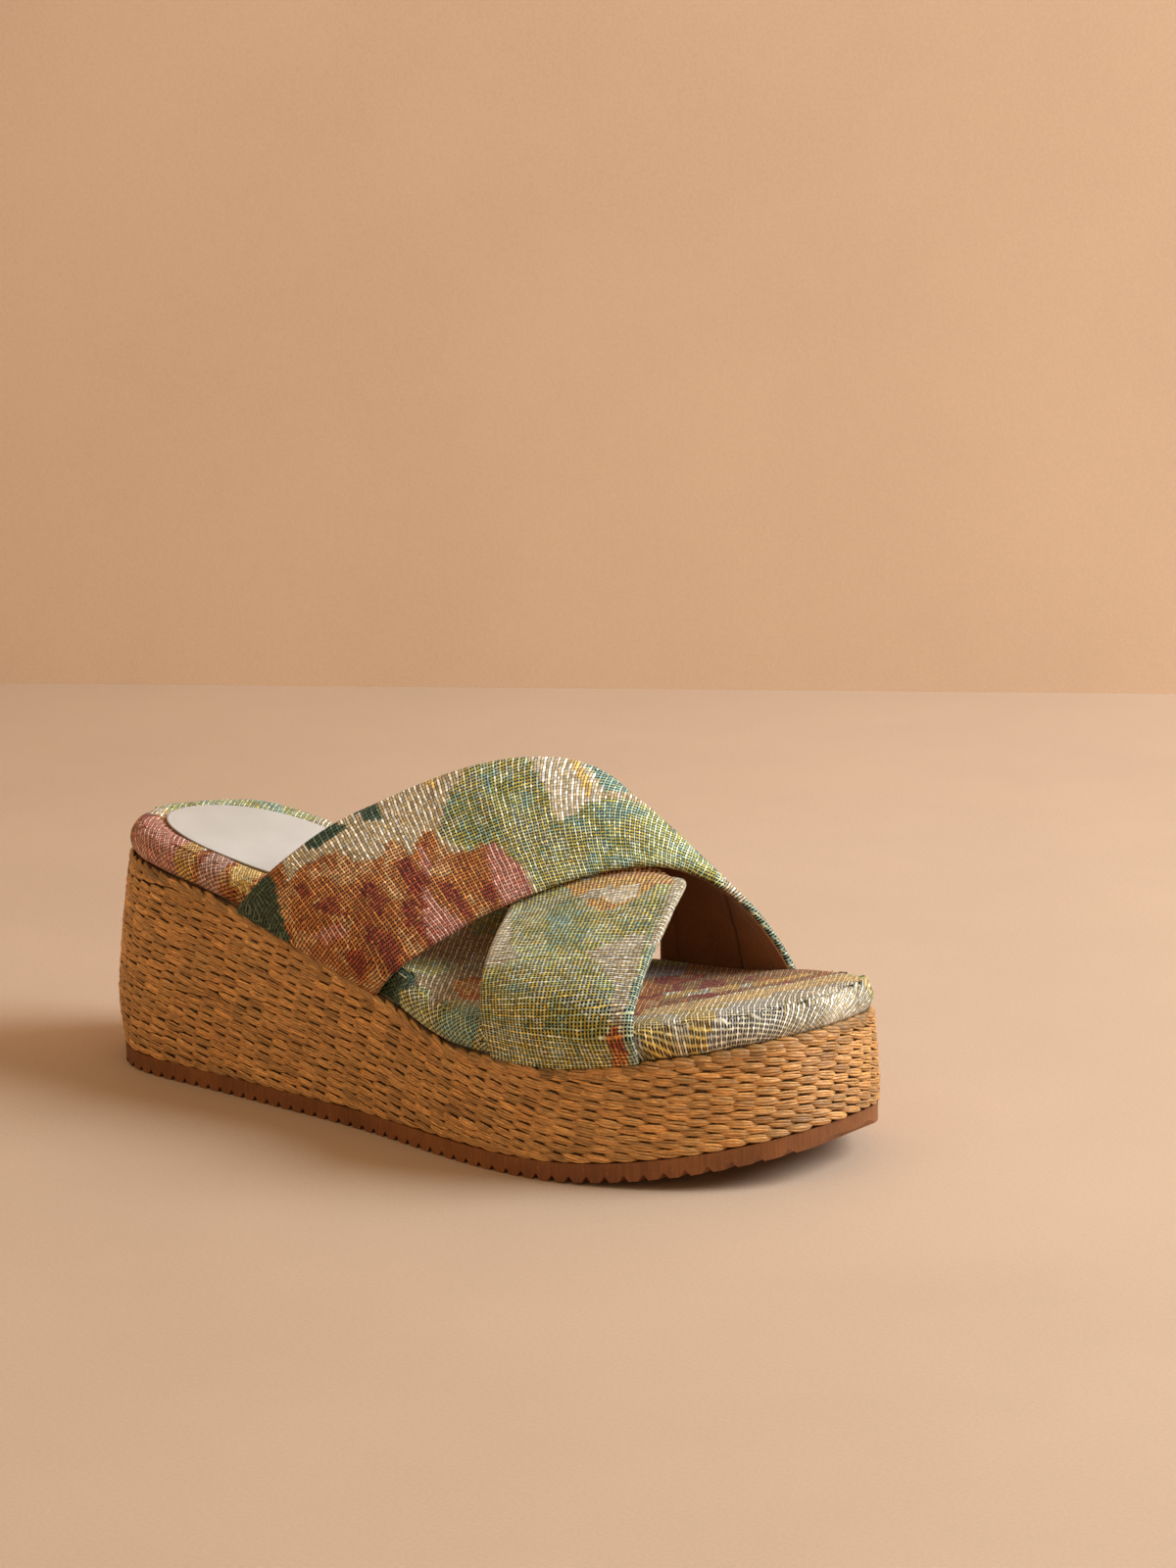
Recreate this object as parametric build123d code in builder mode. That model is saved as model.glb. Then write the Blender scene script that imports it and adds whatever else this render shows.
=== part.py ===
from build123d import *
import math
import os

os.makedirs("parts", exist_ok=True)

# Platform wedge slide, right foot, EU 38 / US 7.5. Millimetres.
# +X runs to the toe, +Z up, -Y is the lateral (outer) side, +Y the medial side.
# Layers from the floor up: rubber outsole, foam wedge inside a woven raffia wrap,
# strap tails and bottom filler, insole board, footbed foam, fabric cover, heel label.
# Two crossed straps, each made of fabric, padding and lining, are lasted between
# the wedge and the insole board.

# ---------------------------------------------------------------- driving sizes
PLACE_X = -0.05           # puts the origin at the bottom centre of the whole shoe
PLACE_Y = -0.06

OUTLINE = [              # widest outline of the wedge in plan
    (-125.35, 0.0), (-120.12, -18.4), (-105.11, -31.79), (-78.03, -36.14),
    (-40.02, -38.16), (-0.57, -41.55), (37.26, -47.63), (66.03, -46.55),
    (88.94, -38.31), (107.11, -26.67), (121.39, -9.17), (125.34, 10.0),
    (121.94, 26.61), (107.65, 39.8), (84.42, 47.97), (57.85, 45.98),
    (29.86, 39.72), (-0.04, 33.42), (-40.0, 31.76), (-80.03, 34.21),
    (-106.62, 29.95), (-120.08, 15.34),
]
TOP_X = [-130.0, -105.0, -75.0, -45.0, -20.0, 5.0, 30.0, 60.0, 90.0, 130.0]
TOP_Z = [62.4, 61.3, 57.4, 50.7, 44.4, 37.2, 31.0, 30.6, 34.3, 42.4]  # wedge top

SOLE_THICK = 5.25        # outsole, teeth included
TOOTH_PITCH = 4.8        # ripple grooves across the outsole
TOOTH_LAND = 2.3
TOOTH_DEPTH = 1.7
TOE_SPRING = 10.5        # lift of the sole at the toe
SPRING_FROM = 55.0
SPRING_RUN = 70.0

WRAP_SET = 0.5           # wrap body inside the widest outline (weave stands proud)
WRAP_THICK = 2.3         # raffia braid on its backing
LEAN_HEEL = 4.83         # the walls lean in towards the top edge
LEAN_FORE = 1.89
WALL_LOW = 12.0          # height where the walls are widest
HEEL_TUCK = 4.0          # the heel curves under at the bottom
TOE_TUCK = 1.2

GAP = 0.05               # glue line between layers
LAST_LAYER = 1.6         # strap tails and filler
BOARD_THICK = 1.8
FOAM_THICK = 5.0
COVER_THICK = 1.0
BED_SET = 3.3            # footbed side, inside the wedge's top edge

FABRIC_THICK = 1.2       # jacquard upper, backed
PAD_THICK = 0.95
LINING_THICK = 0.8
TAIL_REACH = 14.0        # strap tail under the insole board

LABEL_THICK = 0.6
LABEL_LONG = 74.0        # heel label
LABEL_WIDE = 44.0
LABEL_AT = (-73.0, -3.2)
LABEL_TURN = 0.0


# ---------------------------------------------------------------- small helpers
def hermite(xs, zs, x):
    """Smooth curve through the knots, slopes from neighbouring knots."""
    x = min(max(x, xs[0]), xs[-1])
    i = max(k for k in range(len(xs) - 1) if xs[k] <= x)
    sec = [(zs[k + 1] - zs[k]) / (xs[k + 1] - xs[k]) for k in range(len(xs) - 1)]

    def slope(k):
        if k == 0:
            return sec[0]
        if k == len(xs) - 1:
            return sec[-1]
        a, b = sec[k - 1], sec[k]
        return 0.0 if a * b <= 0 else 2 * a * b / (a + b)

    h = xs[i + 1] - xs[i]
    t = (x - xs[i]) / h
    return ((2 * t ** 3 - 3 * t ** 2 + 1) * zs[i] + (t ** 3 - 2 * t ** 2 + t) * h * slope(i)
            + (-2 * t ** 3 + 3 * t ** 2) * zs[i + 1] + (t ** 3 - t ** 2) * h * slope(i + 1))


def top_z(x):
    return hermite(TOP_X, TOP_Z, x)


def spring_z(x):
    return TOE_SPRING * min(max((x - SPRING_FROM) / SPRING_RUN, 0.0), 1.15) ** 2


def lean(x):
    w = min(max((-x - 20.0) / 90.0, 0.0), 1.0)
    return LEAN_HEEL * w + LEAN_FORE * (1 - w)


def tuck(x):
    heel = min(max((-x - 92.0) / 33.0, 0.0), 1.0)
    toe = min(max((x - 95.0) / 30.0, 0.0), 1.0)
    return HEEL_TUCK * heel * heel + TOE_TUCK * toe * toe


def ring(inset):
    """Points of the outline moved inwards by inset(x)."""
    n = len(OUTLINE)
    pts = []
    for i in range(n):
        (xa, ya), (xb, yb) = OUTLINE[i - 1], OUTLINE[(i + 1) % n]
        nx, ny = yb - ya, -(xb - xa)
        s = math.hypot(nx, ny)
        nx, ny = nx / s, ny / s
        x, y = OUTLINE[i]
        if nx * x + ny * y < 0:
            nx, ny = -nx, -ny
        d = inset(x)
        pts.append((x - nx * d + PLACE_X, y - ny * d + PLACE_Y))
    return pts


def prism(inset, low=-5.0, high=90.0):
    """Upright solid on the inset outline."""
    with BuildPart() as body:
        with BuildSketch(Plane.XY.offset(low)):
            with BuildLine():
                Spline(*ring(inset), periodic=True)
            make_face()
        extrude(amount=high - low)
    return body.part


def band(low, high):
    """Everything between two side profiles low(x) and high(x)."""
    xs = [-135.0 + 9.0 * k for k in range(31)]
    with BuildPart() as body:
        with BuildSketch(Plane.XZ):
            with BuildLine():
                Spline(*[(x + PLACE_X, low(x)) for x in xs])
                Line((xs[-1] + PLACE_X, low(xs[-1])), (xs[-1] + PLACE_X, high(xs[-1])))
                Spline(*[(x + PLACE_X, high(x)) for x in reversed(xs)])
                Line((xs[0] + PLACE_X, high(xs[0])), (xs[0] + PLACE_X, low(xs[0])))
            make_face()
        extrude(amount=70.0, both=True)
    return body.part


def above_top(low, high):
    return band(lambda x: top_z(x) + low, lambda x: top_z(x) + high)


def wall(extra):
    """Leaning side walls of the wedge, inset by extra."""
    with BuildPart() as body:
        for z in (2.0, 8.0, 14.0, 22.0, 34.0, 48.0, 66.0, 84.0):
            def inset(x, z=z):
                up = min(max((z - WALL_LOW) / (top_z(x) - WALL_LOW), 0.0), 2.2) ** 1.6
                under = max(0.0, (20.0 - z) / 15.0) ** 1.5
                return extra + lean(x) * up + tuck(x) * min(under, 1.1)
            with BuildSketch(Plane.XY.offset(z)):
                with BuildLine():
                    Spline(*ring(inset), periodic=True)
                make_face()
        loft()
    return body.part


def walk(points, count):
    """count + 1 points evenly spaced along a smooth curve through the points."""
    pts = [Vector(*p) for p in points]
    ext = [pts[0] * 2 - pts[1]] + pts + [pts[-1] * 2 - pts[-2]]
    dense = []
    for i in range(1, len(ext) - 2):
        p0, p1, p2, p3 = ext[i - 1:i + 3]
        t1 = (p1 - p0).length ** 0.5
        t2 = t1 + (p2 - p1).length ** 0.5
        t3 = t2 + (p3 - p2).length ** 0.5
        for k in range(24):
            t = t1 + (t2 - t1) * k / 24.0
            a1 = p0 * ((t1 - t) / t1) + p1 * (t / t1)
            a2 = p1 * ((t2 - t) / (t2 - t1)) + p2 * ((t - t1) / (t2 - t1))
            a3 = p2 * ((t3 - t) / (t3 - t2)) + p3 * ((t - t2) / (t3 - t2))
            b1 = a1 * ((t2 - t) / t2) + a2 * (t / t2)
            b2 = a2 * ((t3 - t) / (t3 - t1)) + a3 * ((t - t1) / (t3 - t1))
            dense.append(b1 * ((t2 - t) / (t2 - t1)) + b2 * ((t - t1) / (t2 - t1)))
    dense.append(pts[-1])
    run = [0.0]
    for a, b in zip(dense, dense[1:]):
        run.append(run[-1] + (b - a).length)
    out = []
    j = 0
    for k in range(count + 1):
        goal = run[-1] * k / count
        while j < len(run) - 2 and run[j + 1] < goal:
            j += 1
        s = (goal - run[j]) / max(run[j + 1] - run[j], 1e-9)
        out.append(dense[j] * (1 - s) + dense[j + 1] * s)
    return out


# Strap edges, outer face, from the lateral to the medial edge of the wedge.
TOP_REAR = [
    (-58.5, -34.4, 51.0), (-57.0, -34.6, 54.5), (-49.8, -34.6, 62.6), (-44.0, -31.0, 69.0),
    (-35.5, -20.0, 78.5), (-25.0, -7.0, 85.8), (-9.0, 7.0, 94.0), (5.5, 17.0, 97.6),
    (19.0, 25.0, 97.0), (28.5, 31.0, 91.5), (34.5, 36.0, 80.0), (37.6, 38.9, 64.0),
    (38.4, 40.0, 46.0), (38.0, 39.9, 34.0), (37.8, 39.6, 28.5),
]
TOP_FRONT = [
    (-3.2, -39.2, 36.5), (-1.9, -39.4, 39.8), (3.4, -38.2, 46.6), (10.8, -30.7, 54.2),
    (17.0, -22.8, 59.6), (25.6, -12.9, 65.4), (36.7, -0.8, 70.8), (47.4, 10.0, 73.8),
    (55.8, 18.3, 73.8), (63.6, 26.2, 70.6), (71.1, 33.7, 63.2), (77.4, 39.9, 52.4),
    (81.5, 43.6, 42.6), (83.6, 44.8, 36.0), (84.4, 45.0, 30.5),
]
UNDER_REAR = [
    (45.3, -45.9, 27.0), (45.2, -46.2, 31.0), (43.5, -48.0, 42.0), (42.6, -46.8, 50.0),
    (39.2, -40.4, 55.7), (32.5, -27.4, 60.1), (23.4, -10.0, 63.45), (14.0, 2.5, 67.9),
    (5.0, 13.5, 71.6), (-5.5, 23.0, 72.0), (-17.0, 29.6, 66.4), (-28.5, 33.0, 59.2),
    (-36.6, 33.0, 52.0), (-41.0, 31.4, 46.0),
]
UNDER_FRONT = [
    (87.6, -36.8, 30.5), (87.4, -37.4, 34.2), (89.3, -42.4, 42.8), (88.0, -40.4, 48.3),
    (85.0, -32.9, 54.3), (81.3, -23.0, 60.2), (76.9, -10.9, 65.5), (72.2, -0.3, 68.8),
    (67.3, 10.2, 70.5), (61.6, 18.8, 69.7), (54.6, 25.3, 65.8), (47.2, 30.2, 58.8),
    (40.6, 33.8, 50.3), (36.4, 36.2, 41.0), (34.6, 38.0, 33.0), (34.2, 38.6, 28.5),
]
STATIONS = 24


def strap_band(rear, front, crown, out, inn):
    """Lofted strap layer between the offsets out and inn of its outer face.
    crown gives the bow across the strap at its two ends and in the middle."""
    a = walk(rear, STATIONS)
    b = walk(front, STATIONS)
    with BuildPart() as body:
        for k in range(STATIONS + 1):
            u = k / STATIONS
            k0, k1 = max(k - 1, 0), min(k + 1, STATIONS)
            run_dir = ((a[k1] - a[k0]).normalized() + (b[k1] - b[k0]).normalized()).normalized()
            across = (b[k] - a[k]).normalized()
            length = (b[k] - a[k]).length
            normal = across.cross(run_dir).normalized()
            origin = a[k] + Vector(PLACE_X, PLACE_Y, 0)
            section = Plane(origin=origin, x_dir=across, z_dir=across.cross(normal))
            if u < 0.5:
                c = crown[0] * (1 - 2 * u) ** 2 + crown[1] * (1 - (1 - 2 * u) ** 2)
            else:
                c = crown[2] * (2 * u - 1) ** 2 + crown[1] * (1 - (2 * u - 1) ** 2)

            def bow(s, offset):
                return (s * length, offset + c * 4 * s * (1 - s))

            with BuildSketch(section):
                with BuildLine():
                    Spline(bow(0, out), bow(0.25, out), bow(0.5, out), bow(0.75, out), bow(1, out))
                    Line(bow(1, out), bow(1, inn))
                    Spline(bow(1, inn), bow(0.75, inn), bow(0.5, inn), bow(0.25, inn), bow(0, inn))
                    Line(bow(0, inn), bow(0, out))
                make_face()
        loft(ruled=True)
    return body.part


# Footprints of the four strap ends on the wedge's top edge: x from, x to, side.
TOP_ENDS = [(-56.2, -2.4, -1), (38.4, 82.6, 1)]
UNDER_ENDS = [(45.8, 86.6, -1), (-38.6, 33.8, 1)]


def side_block(x0, x1, side, margin=0.0):
    with BuildPart() as body:
        with BuildSketch(Plane.XY.offset(0)):
            with Locations(((x0 + x1) / 2 + PLACE_X, side * 40.0)):
                Rectangle(x1 - x0 + 2 * margin, 76.0)
        extrude(amount=95.0)
    return body.part


def rim(first, last):
    """Upright ring between two insets from the wedge's top edge."""
    with BuildPart() as body:
        add(prism(lambda x: lean(x) + first))
        add(prism(lambda x: lean(x) + last, -6.0, 91.0), mode=Mode.SUBTRACT)
    return body.part


# ---------------------------------------------------------------- outsole
def teeth():
    pts = []
    x = -134.4
    while x < 134.0:
        for dx, dz in ((0.0, 0.0), (TOOTH_LAND, 0.0),
                       (TOOTH_LAND + 0.95, TOOTH_DEPTH * 0.86), (TOOTH_LAND + 1.25, TOOTH_DEPTH),
                       (TOOTH_LAND + 1.55, TOOTH_DEPTH * 0.86)):
            pts.append((x + dx + PLACE_X, spring_z(x + dx) + dz))
        x += TOOTH_PITCH
    return pts


with BuildPart() as outsole:
    with BuildSketch(Plane.XZ):
        with BuildLine():
            low = teeth()
            Polyline(*low)
            end = (low[-1][0], spring_z(low[-1][0] - PLACE_X) + SOLE_THICK)
            start = (low[0][0], SOLE_THICK)
            Line(low[-1], end)
            n = 30
            Spline(*[(end[0] + (start[0] - end[0]) * k / n,
                      spring_z(end[0] + (start[0] - end[0]) * k / n - PLACE_X) + SOLE_THICK)
                     for k in range(n + 1)])
            Line(start, low[0])
        make_face()
    extrude(amount=70.0, both=True)
    add(prism(lambda x: 0.1 + 0.92 * tuck(x)), mode=Mode.INTERSECT)

# ---------------------------------------------------------------- wedge and wrap
body_band = band(lambda x: spring_z(x) + SOLE_THICK + GAP, top_z)
with BuildPart() as wedge_core:
    add(wall(WRAP_SET + WRAP_THICK + GAP))
    add(body_band, mode=Mode.INTERSECT)

with BuildPart() as raffia_wrap:
    add(wall(WRAP_SET))
    add(wall(WRAP_SET + WRAP_THICK), mode=Mode.SUBTRACT)
    add(body_band, mode=Mode.INTERSECT)


# ---------------------------------------------------------------- straps
def arch(rear, front, crown, out, inn, floor):
    """Strap layer above the level floor over the wedge's top."""
    with BuildPart() as body:
        add(strap_band(rear, front, crown, out, inn))
        add(above_top(floor, 70.0), mode=Mode.INTERSECT)
    return body.part


def tail(end, first, low, high, outer_layers=None):
    """Strap end turned in under the insole board, inside the outer layers."""
    with BuildPart() as body:
        add(rim(first, TAIL_REACH))
        add(side_block(*end), mode=Mode.INTERSECT)
        add(above_top(low, high), mode=Mode.INTERSECT)
        if outer_layers is not None:
            add(outer_layers, mode=Mode.SUBTRACT)
    return body.part


TOP_CROWN = (0.4, 1.6, 2.2)
UNDER_CROWN = (3.0, 0.8, -2.6)
PAD_OUT = -FABRIC_THICK - GAP
PAD_IN = PAD_OUT - PAD_THICK
LIN_OUT = PAD_IN - GAP
LIN_IN = LIN_OUT - LINING_THICK
TAIL_MID = GAP + LAST_LAYER / 2.0

layers = {}
for strap, rear, front, crown, ends in (
        ("top_strap", TOP_REAR, TOP_FRONT, TOP_CROWN, TOP_ENDS),
        ("under_strap", UNDER_REAR, UNDER_FRONT, UNDER_CROWN, UNDER_ENDS)):
    fabric_arch = arch(rear, front, crown, 0.0, -FABRIC_THICK, GAP)
    fabric_tails = [tail(end, 0.35, GAP, TAIL_MID) for end in ends]
    pad_arch = arch(rear, front, crown, PAD_OUT, PAD_IN, TAIL_MID + GAP)
    lining_arch = arch(rear, front, crown, LIN_OUT, LIN_IN, TAIL_MID + GAP)
    outer_layers = strap_band(rear, front, crown, 1.5, LIN_OUT)
    lining_tails = [tail(end, -LIN_OUT - 0.6, TAIL_MID + GAP, GAP + LAST_LAYER, outer_layers)
                    for end in ends]
    with BuildPart() as fabric:
        add(fabric_arch)
        add(fabric_tails)
    with BuildPart() as padding:
        add(pad_arch)
    with BuildPart() as lining:
        add(lining_arch)
        add(lining_tails)
    layers[strap + "_fabric"] = fabric
    layers[strap + "_padding"] = padding
    layers[strap + "_lining"] = lining

# ---------------------------------------------------------------- footbed
def end_zone(x0, x1, side):
    """Room for one strap end in the lasting layer."""
    with BuildPart() as body:
        add(rim(-3.0, TAIL_REACH + 0.3))
        add(side_block(x0, x1, side, 0.8), mode=Mode.INTERSECT)
    return body.part


zones = [end_zone(*end) for end in TOP_ENDS + UNDER_ENDS]
with BuildPart() as bottom_filler:
    add(prism(lambda x: lean(x) + BED_SET + COVER_THICK + 0.3))
    add(above_top(GAP, GAP + LAST_LAYER), mode=Mode.INTERSECT)
    add(zones, mode=Mode.SUBTRACT)

# The straps press into the soft edge of the footbed where they rise from it.
presses = [strap_band(TOP_REAR, TOP_FRONT, TOP_CROWN, 1.0, LIN_IN - 0.1),
           strap_band(UNDER_REAR, UNDER_FRONT, UNDER_CROWN, 1.0, LIN_IN - 0.1)]

BOARD_Z = LAST_LAYER + 2 * GAP
FOAM_Z = BOARD_Z + BOARD_THICK + GAP
BED_TOP = FOAM_Z + FOAM_THICK + GAP + COVER_THICK

with BuildPart() as insole_board:
    add(prism(lambda x: lean(x) + BED_SET + COVER_THICK + 0.15))
    add(above_top(BOARD_Z, BOARD_Z + BOARD_THICK), mode=Mode.INTERSECT)
    add(presses, mode=Mode.SUBTRACT)


with BuildPart() as footbed_foam:
    add(prism(lambda x: lean(x) + BED_SET + COVER_THICK + 0.15))
    add(above_top(FOAM_Z, FOAM_Z + FOAM_THICK), mode=Mode.INTERSECT)
    add(presses, mode=Mode.SUBTRACT)

with BuildPart() as footbed_cover:
    add(prism(lambda x: lean(x) + BED_SET))
    add(above_top(BOARD_Z, BED_TOP), mode=Mode.INTERSECT)
    add(prism(lambda x: lean(x) + BED_SET + COVER_THICK, 0.0, FOAM_Z + 200.0)
        & above_top(BOARD_Z - 3.0, FOAM_Z + FOAM_THICK + GAP), mode=Mode.SUBTRACT)
    add(presses, mode=Mode.SUBTRACT)

# ---------------------------------------------------------------- heel label
with BuildPart() as heel_label:
    with BuildSketch(Plane.XY.offset(40.0)):
        with Locations(Location((LABEL_AT[0] + PLACE_X, LABEL_AT[1] + PLACE_Y, 0), LABEL_TURN)):
            Ellipse(LABEL_LONG / 2, LABEL_WIDE / 2)
    extrude(amount=60.0)
    add(above_top(BED_TOP + GAP, BED_TOP + GAP + LABEL_THICK), mode=Mode.INTERSECT)

# ---------------------------------------------------------------- hand over
pieces = {
    "outsole": outsole, "wedge_core": wedge_core, "raffia_wrap": raffia_wrap,
    "bottom_filler": bottom_filler, "insole_board": insole_board,
    "footbed_foam": footbed_foam, "footbed_cover": footbed_cover, "heel_label": heel_label,
}
pieces.update(layers)

low = [1e9] * 3
high = [-1e9] * 3
for label, piece in pieces.items():
    piece.part.label = label
    export_step(piece.part, f"parts/{label}.step")
    box = piece.part.bounding_box()
    low = [min(a, b) for a, b in zip(low, box.min)]
    high = [max(a, b) for a, b in zip(high, box.max)]
    print(label, "solids", len(piece.part.solids()), "volume", round(piece.part.volume),
          "valid", piece.part.is_valid)
print("box", [round(v, 2) for v in low], [round(v, 2) for v in high])
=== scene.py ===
import math

import bpy
import numpy as np
from mathutils import Matrix, Vector


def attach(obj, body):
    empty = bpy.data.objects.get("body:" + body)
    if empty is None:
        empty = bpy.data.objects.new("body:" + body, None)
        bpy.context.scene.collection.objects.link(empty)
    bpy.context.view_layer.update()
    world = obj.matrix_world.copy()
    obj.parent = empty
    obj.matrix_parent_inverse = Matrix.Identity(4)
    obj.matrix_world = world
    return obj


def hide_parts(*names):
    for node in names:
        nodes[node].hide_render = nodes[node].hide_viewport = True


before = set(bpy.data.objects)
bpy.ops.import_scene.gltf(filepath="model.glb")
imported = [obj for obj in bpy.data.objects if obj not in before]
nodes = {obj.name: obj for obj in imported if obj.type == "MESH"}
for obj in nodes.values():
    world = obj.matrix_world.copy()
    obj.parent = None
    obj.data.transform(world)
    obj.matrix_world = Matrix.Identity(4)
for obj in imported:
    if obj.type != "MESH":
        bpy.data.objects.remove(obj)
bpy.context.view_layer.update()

# Platform wedge slide: woven raffia wedge, ripple outsole, puffy tapestry footbed,
# two crossed tapestry straps with a microfibre lining, blank heel label.
# Lengths are in millimetres until a mesh is made.
MM = 0.001
rng = np.random.default_rng(7)

# ------------------------------------------------------------------ shared shape
PLACE = np.array([-0.05, -0.06])
OUTLINE = np.array([
    (-125.35, 0.0), (-120.12, -18.4), (-105.11, -31.79), (-78.03, -36.14),
    (-40.02, -38.16), (-0.57, -41.55), (37.26, -47.63), (66.03, -46.55),
    (88.94, -38.31), (107.11, -26.67), (121.39, -9.17), (125.34, 10.0),
    (121.94, 26.61), (107.65, 39.8), (84.42, 47.97), (57.85, 45.98),
    (29.86, 39.72), (-0.04, 33.42), (-40.0, 31.76), (-80.03, 34.21),
    (-106.62, 29.95), (-120.08, 15.34)])
TOP_X = [-130.0, -105.0, -75.0, -45.0, -20.0, 5.0, 30.0, 60.0, 90.0, 130.0]
TOP_Z = [62.4, 61.3, 57.4, 50.7, 44.4, 37.2, 31.0, 30.6, 34.3, 42.4]
SOLE_THICK = 5.25
BED_RISE = 9.6
BED_SET = 3.3

TOP_REAR = [
    (-58.5, -34.4, 51.0), (-57.0, -34.6, 54.5), (-49.8, -34.6, 62.6), (-44.0, -31.0, 69.0),
    (-35.5, -20.0, 78.5), (-25.0, -7.0, 85.8), (-9.0, 7.0, 94.0), (5.5, 17.0, 97.6),
    (19.0, 25.0, 97.0), (28.5, 31.0, 91.5), (34.5, 36.0, 80.0), (37.6, 38.9, 64.0),
    (38.4, 40.0, 46.0), (38.0, 39.9, 34.0), (37.8, 39.6, 28.5)]
TOP_FRONT = [
    (-3.2, -39.2, 36.5), (-1.9, -39.4, 39.8), (3.4, -38.2, 46.6), (10.8, -30.7, 54.2),
    (17.0, -22.8, 59.6), (25.6, -12.9, 65.4), (36.7, -0.8, 70.8), (47.4, 10.0, 73.8),
    (55.8, 18.3, 73.8), (63.6, 26.2, 70.6), (71.1, 33.7, 63.2), (77.4, 39.9, 52.4),
    (81.5, 43.6, 42.6), (83.6, 44.8, 36.0), (84.4, 45.0, 30.5)]
UNDER_REAR = [
    (45.3, -45.9, 27.0), (45.2, -46.2, 31.0), (43.5, -48.0, 42.0), (42.6, -46.8, 50.0),
    (39.2, -40.4, 55.7), (32.5, -27.4, 60.1), (23.4, -10.0, 63.45), (14.0, 2.5, 67.9),
    (5.0, 13.5, 71.6), (-5.5, 23.0, 72.0), (-17.0, 29.6, 66.4), (-28.5, 33.0, 59.2),
    (-36.6, 33.0, 52.0), (-41.0, 31.4, 46.0)]
UNDER_FRONT = [
    (87.6, -36.8, 30.5), (87.4, -37.4, 34.2), (89.3, -42.4, 42.8), (88.0, -40.4, 48.3),
    (85.0, -32.9, 54.3), (81.3, -23.0, 60.2), (76.9, -10.9, 65.5), (72.2, -0.3, 68.8),
    (67.3, 10.2, 70.5), (61.6, 18.8, 69.7), (54.6, 25.3, 65.8), (47.2, 30.2, 58.8),
    (40.6, 33.8, 50.3), (36.4, 36.2, 41.0), (34.6, 38.0, 33.0), (34.2, 38.6, 28.5)]
TOP_CROWN = (0.4, 1.6, 2.2)
UNDER_CROWN = (3.0, 0.8, -2.6)


def knots(xs, zs, x):
    x = min(max(x, xs[0]), xs[-1])
    i = max(k for k in range(len(xs) - 1) if xs[k] <= x)
    sec = [(zs[k + 1] - zs[k]) / (xs[k + 1] - xs[k]) for k in range(len(xs) - 1)]

    def slope(k):
        if k == 0:
            return sec[0]
        if k == len(xs) - 1:
            return sec[-1]
        a, b = sec[k - 1], sec[k]
        return 0.0 if a * b <= 0 else 2 * a * b / (a + b)

    h = xs[i + 1] - xs[i]
    t = (x - xs[i]) / h
    return ((2 * t ** 3 - 3 * t ** 2 + 1) * zs[i] + (t ** 3 - 2 * t ** 2 + t) * h * slope(i)
            + (-2 * t ** 3 + 3 * t ** 2) * zs[i + 1] + (t ** 3 - t ** 2) * h * slope(i + 1))


TABLE_X = np.linspace(-132, 132, 1057)
TABLE_Z = np.array([knots(TOP_X, TOP_Z, x) for x in TABLE_X])


def top_z(x):
    return np.interp(np.asarray(x) - PLACE[0], TABLE_X, TABLE_Z)


def spring_z(x):
    return 10.5 * np.clip((np.asarray(x) - PLACE[0] - 55.0) / 70.0, 0.0, 1.15) ** 2


def lean(x):
    w = np.clip((-np.asarray(x) - 20.0) / 90.0, 0.0, 1.0)
    return 4.83 * w + 1.89 * (1 - w)


def tuck(x):
    heel = np.clip((-np.asarray(x) - 92.0) / 33.0, 0.0, 1.0)
    toe = np.clip((np.asarray(x) - 95.0) / 30.0, 0.0, 1.0)
    return 4.0 * heel * heel + 1.2 * toe * toe


def periodic_curve(points, count):
    """Closed smooth curve through the points, sampled at even steps."""
    n = len(points)
    d = np.linalg.norm(np.roll(points, -1, 0) - points, axis=1)
    A = np.zeros((n, n))
    B = np.zeros((n, 2))
    for i in range(n):
        h0, h1 = d[i - 1], d[i]
        A[i, i - 1] += h1
        A[i, i] += 2 * (h0 + h1)
        A[i, (i + 1) % n] += h0
        B[i] = 3 * (h1 * (points[i] - points[i - 1]) / h0
                    + h0 * (points[(i + 1) % n] - points[i]) / h1)
    m = np.linalg.solve(A, B)
    out = []
    for i in range(n):
        h = d[i]
        t = np.linspace(0, 1, 200, endpoint=False)[:, None]
        out.append((2 * t ** 3 - 3 * t ** 2 + 1) * points[i] + (t ** 3 - 2 * t ** 2 + t) * h * m[i]
                   + (-2 * t ** 3 + 3 * t ** 2) * points[(i + 1) % n]
                   + (t ** 3 - t ** 2) * h * m[(i + 1) % n])
    out = np.concatenate(out)
    step = np.linalg.norm(np.roll(out, -1, 0) - out, axis=1)
    run = np.concatenate([[0], np.cumsum(step)])
    goal = np.linspace(0, run[-1], count, endpoint=False)
    loop = np.concatenate([out, out[:1]])
    return np.stack([np.interp(goal, run, loop[:, k]) for k in (0, 1)], -1), run[-1]


EDGE, EDGE_LONG = periodic_curve(OUTLINE, 4000)
_d = np.roll(EDGE, -3, 0) - np.roll(EDGE, 3, 0)
EDGE_N = np.stack([_d[:, 1], -_d[:, 0]], -1)
EDGE_N /= np.linalg.norm(EDGE_N, axis=1)[:, None]
if (EDGE_N * EDGE).sum() < 0:
    EDGE_N = -EDGE_N
EDGE = EDGE + PLACE


def edge_at(s):
    """Outline point and outward direction at run s."""
    k = np.mod(np.asarray(s) / EDGE_LONG, 1.0) * len(EDGE)
    i = np.floor(k).astype(int) % len(EDGE)
    j = (i + 1) % len(EDGE)
    t = (k - np.floor(k))[..., None]
    n = EDGE_N[i] * (1 - t) + EDGE_N[j] * t
    n /= np.linalg.norm(n, axis=-1)[..., None]
    return EDGE[i] * (1 - t) + EDGE[j] * t, n


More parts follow.
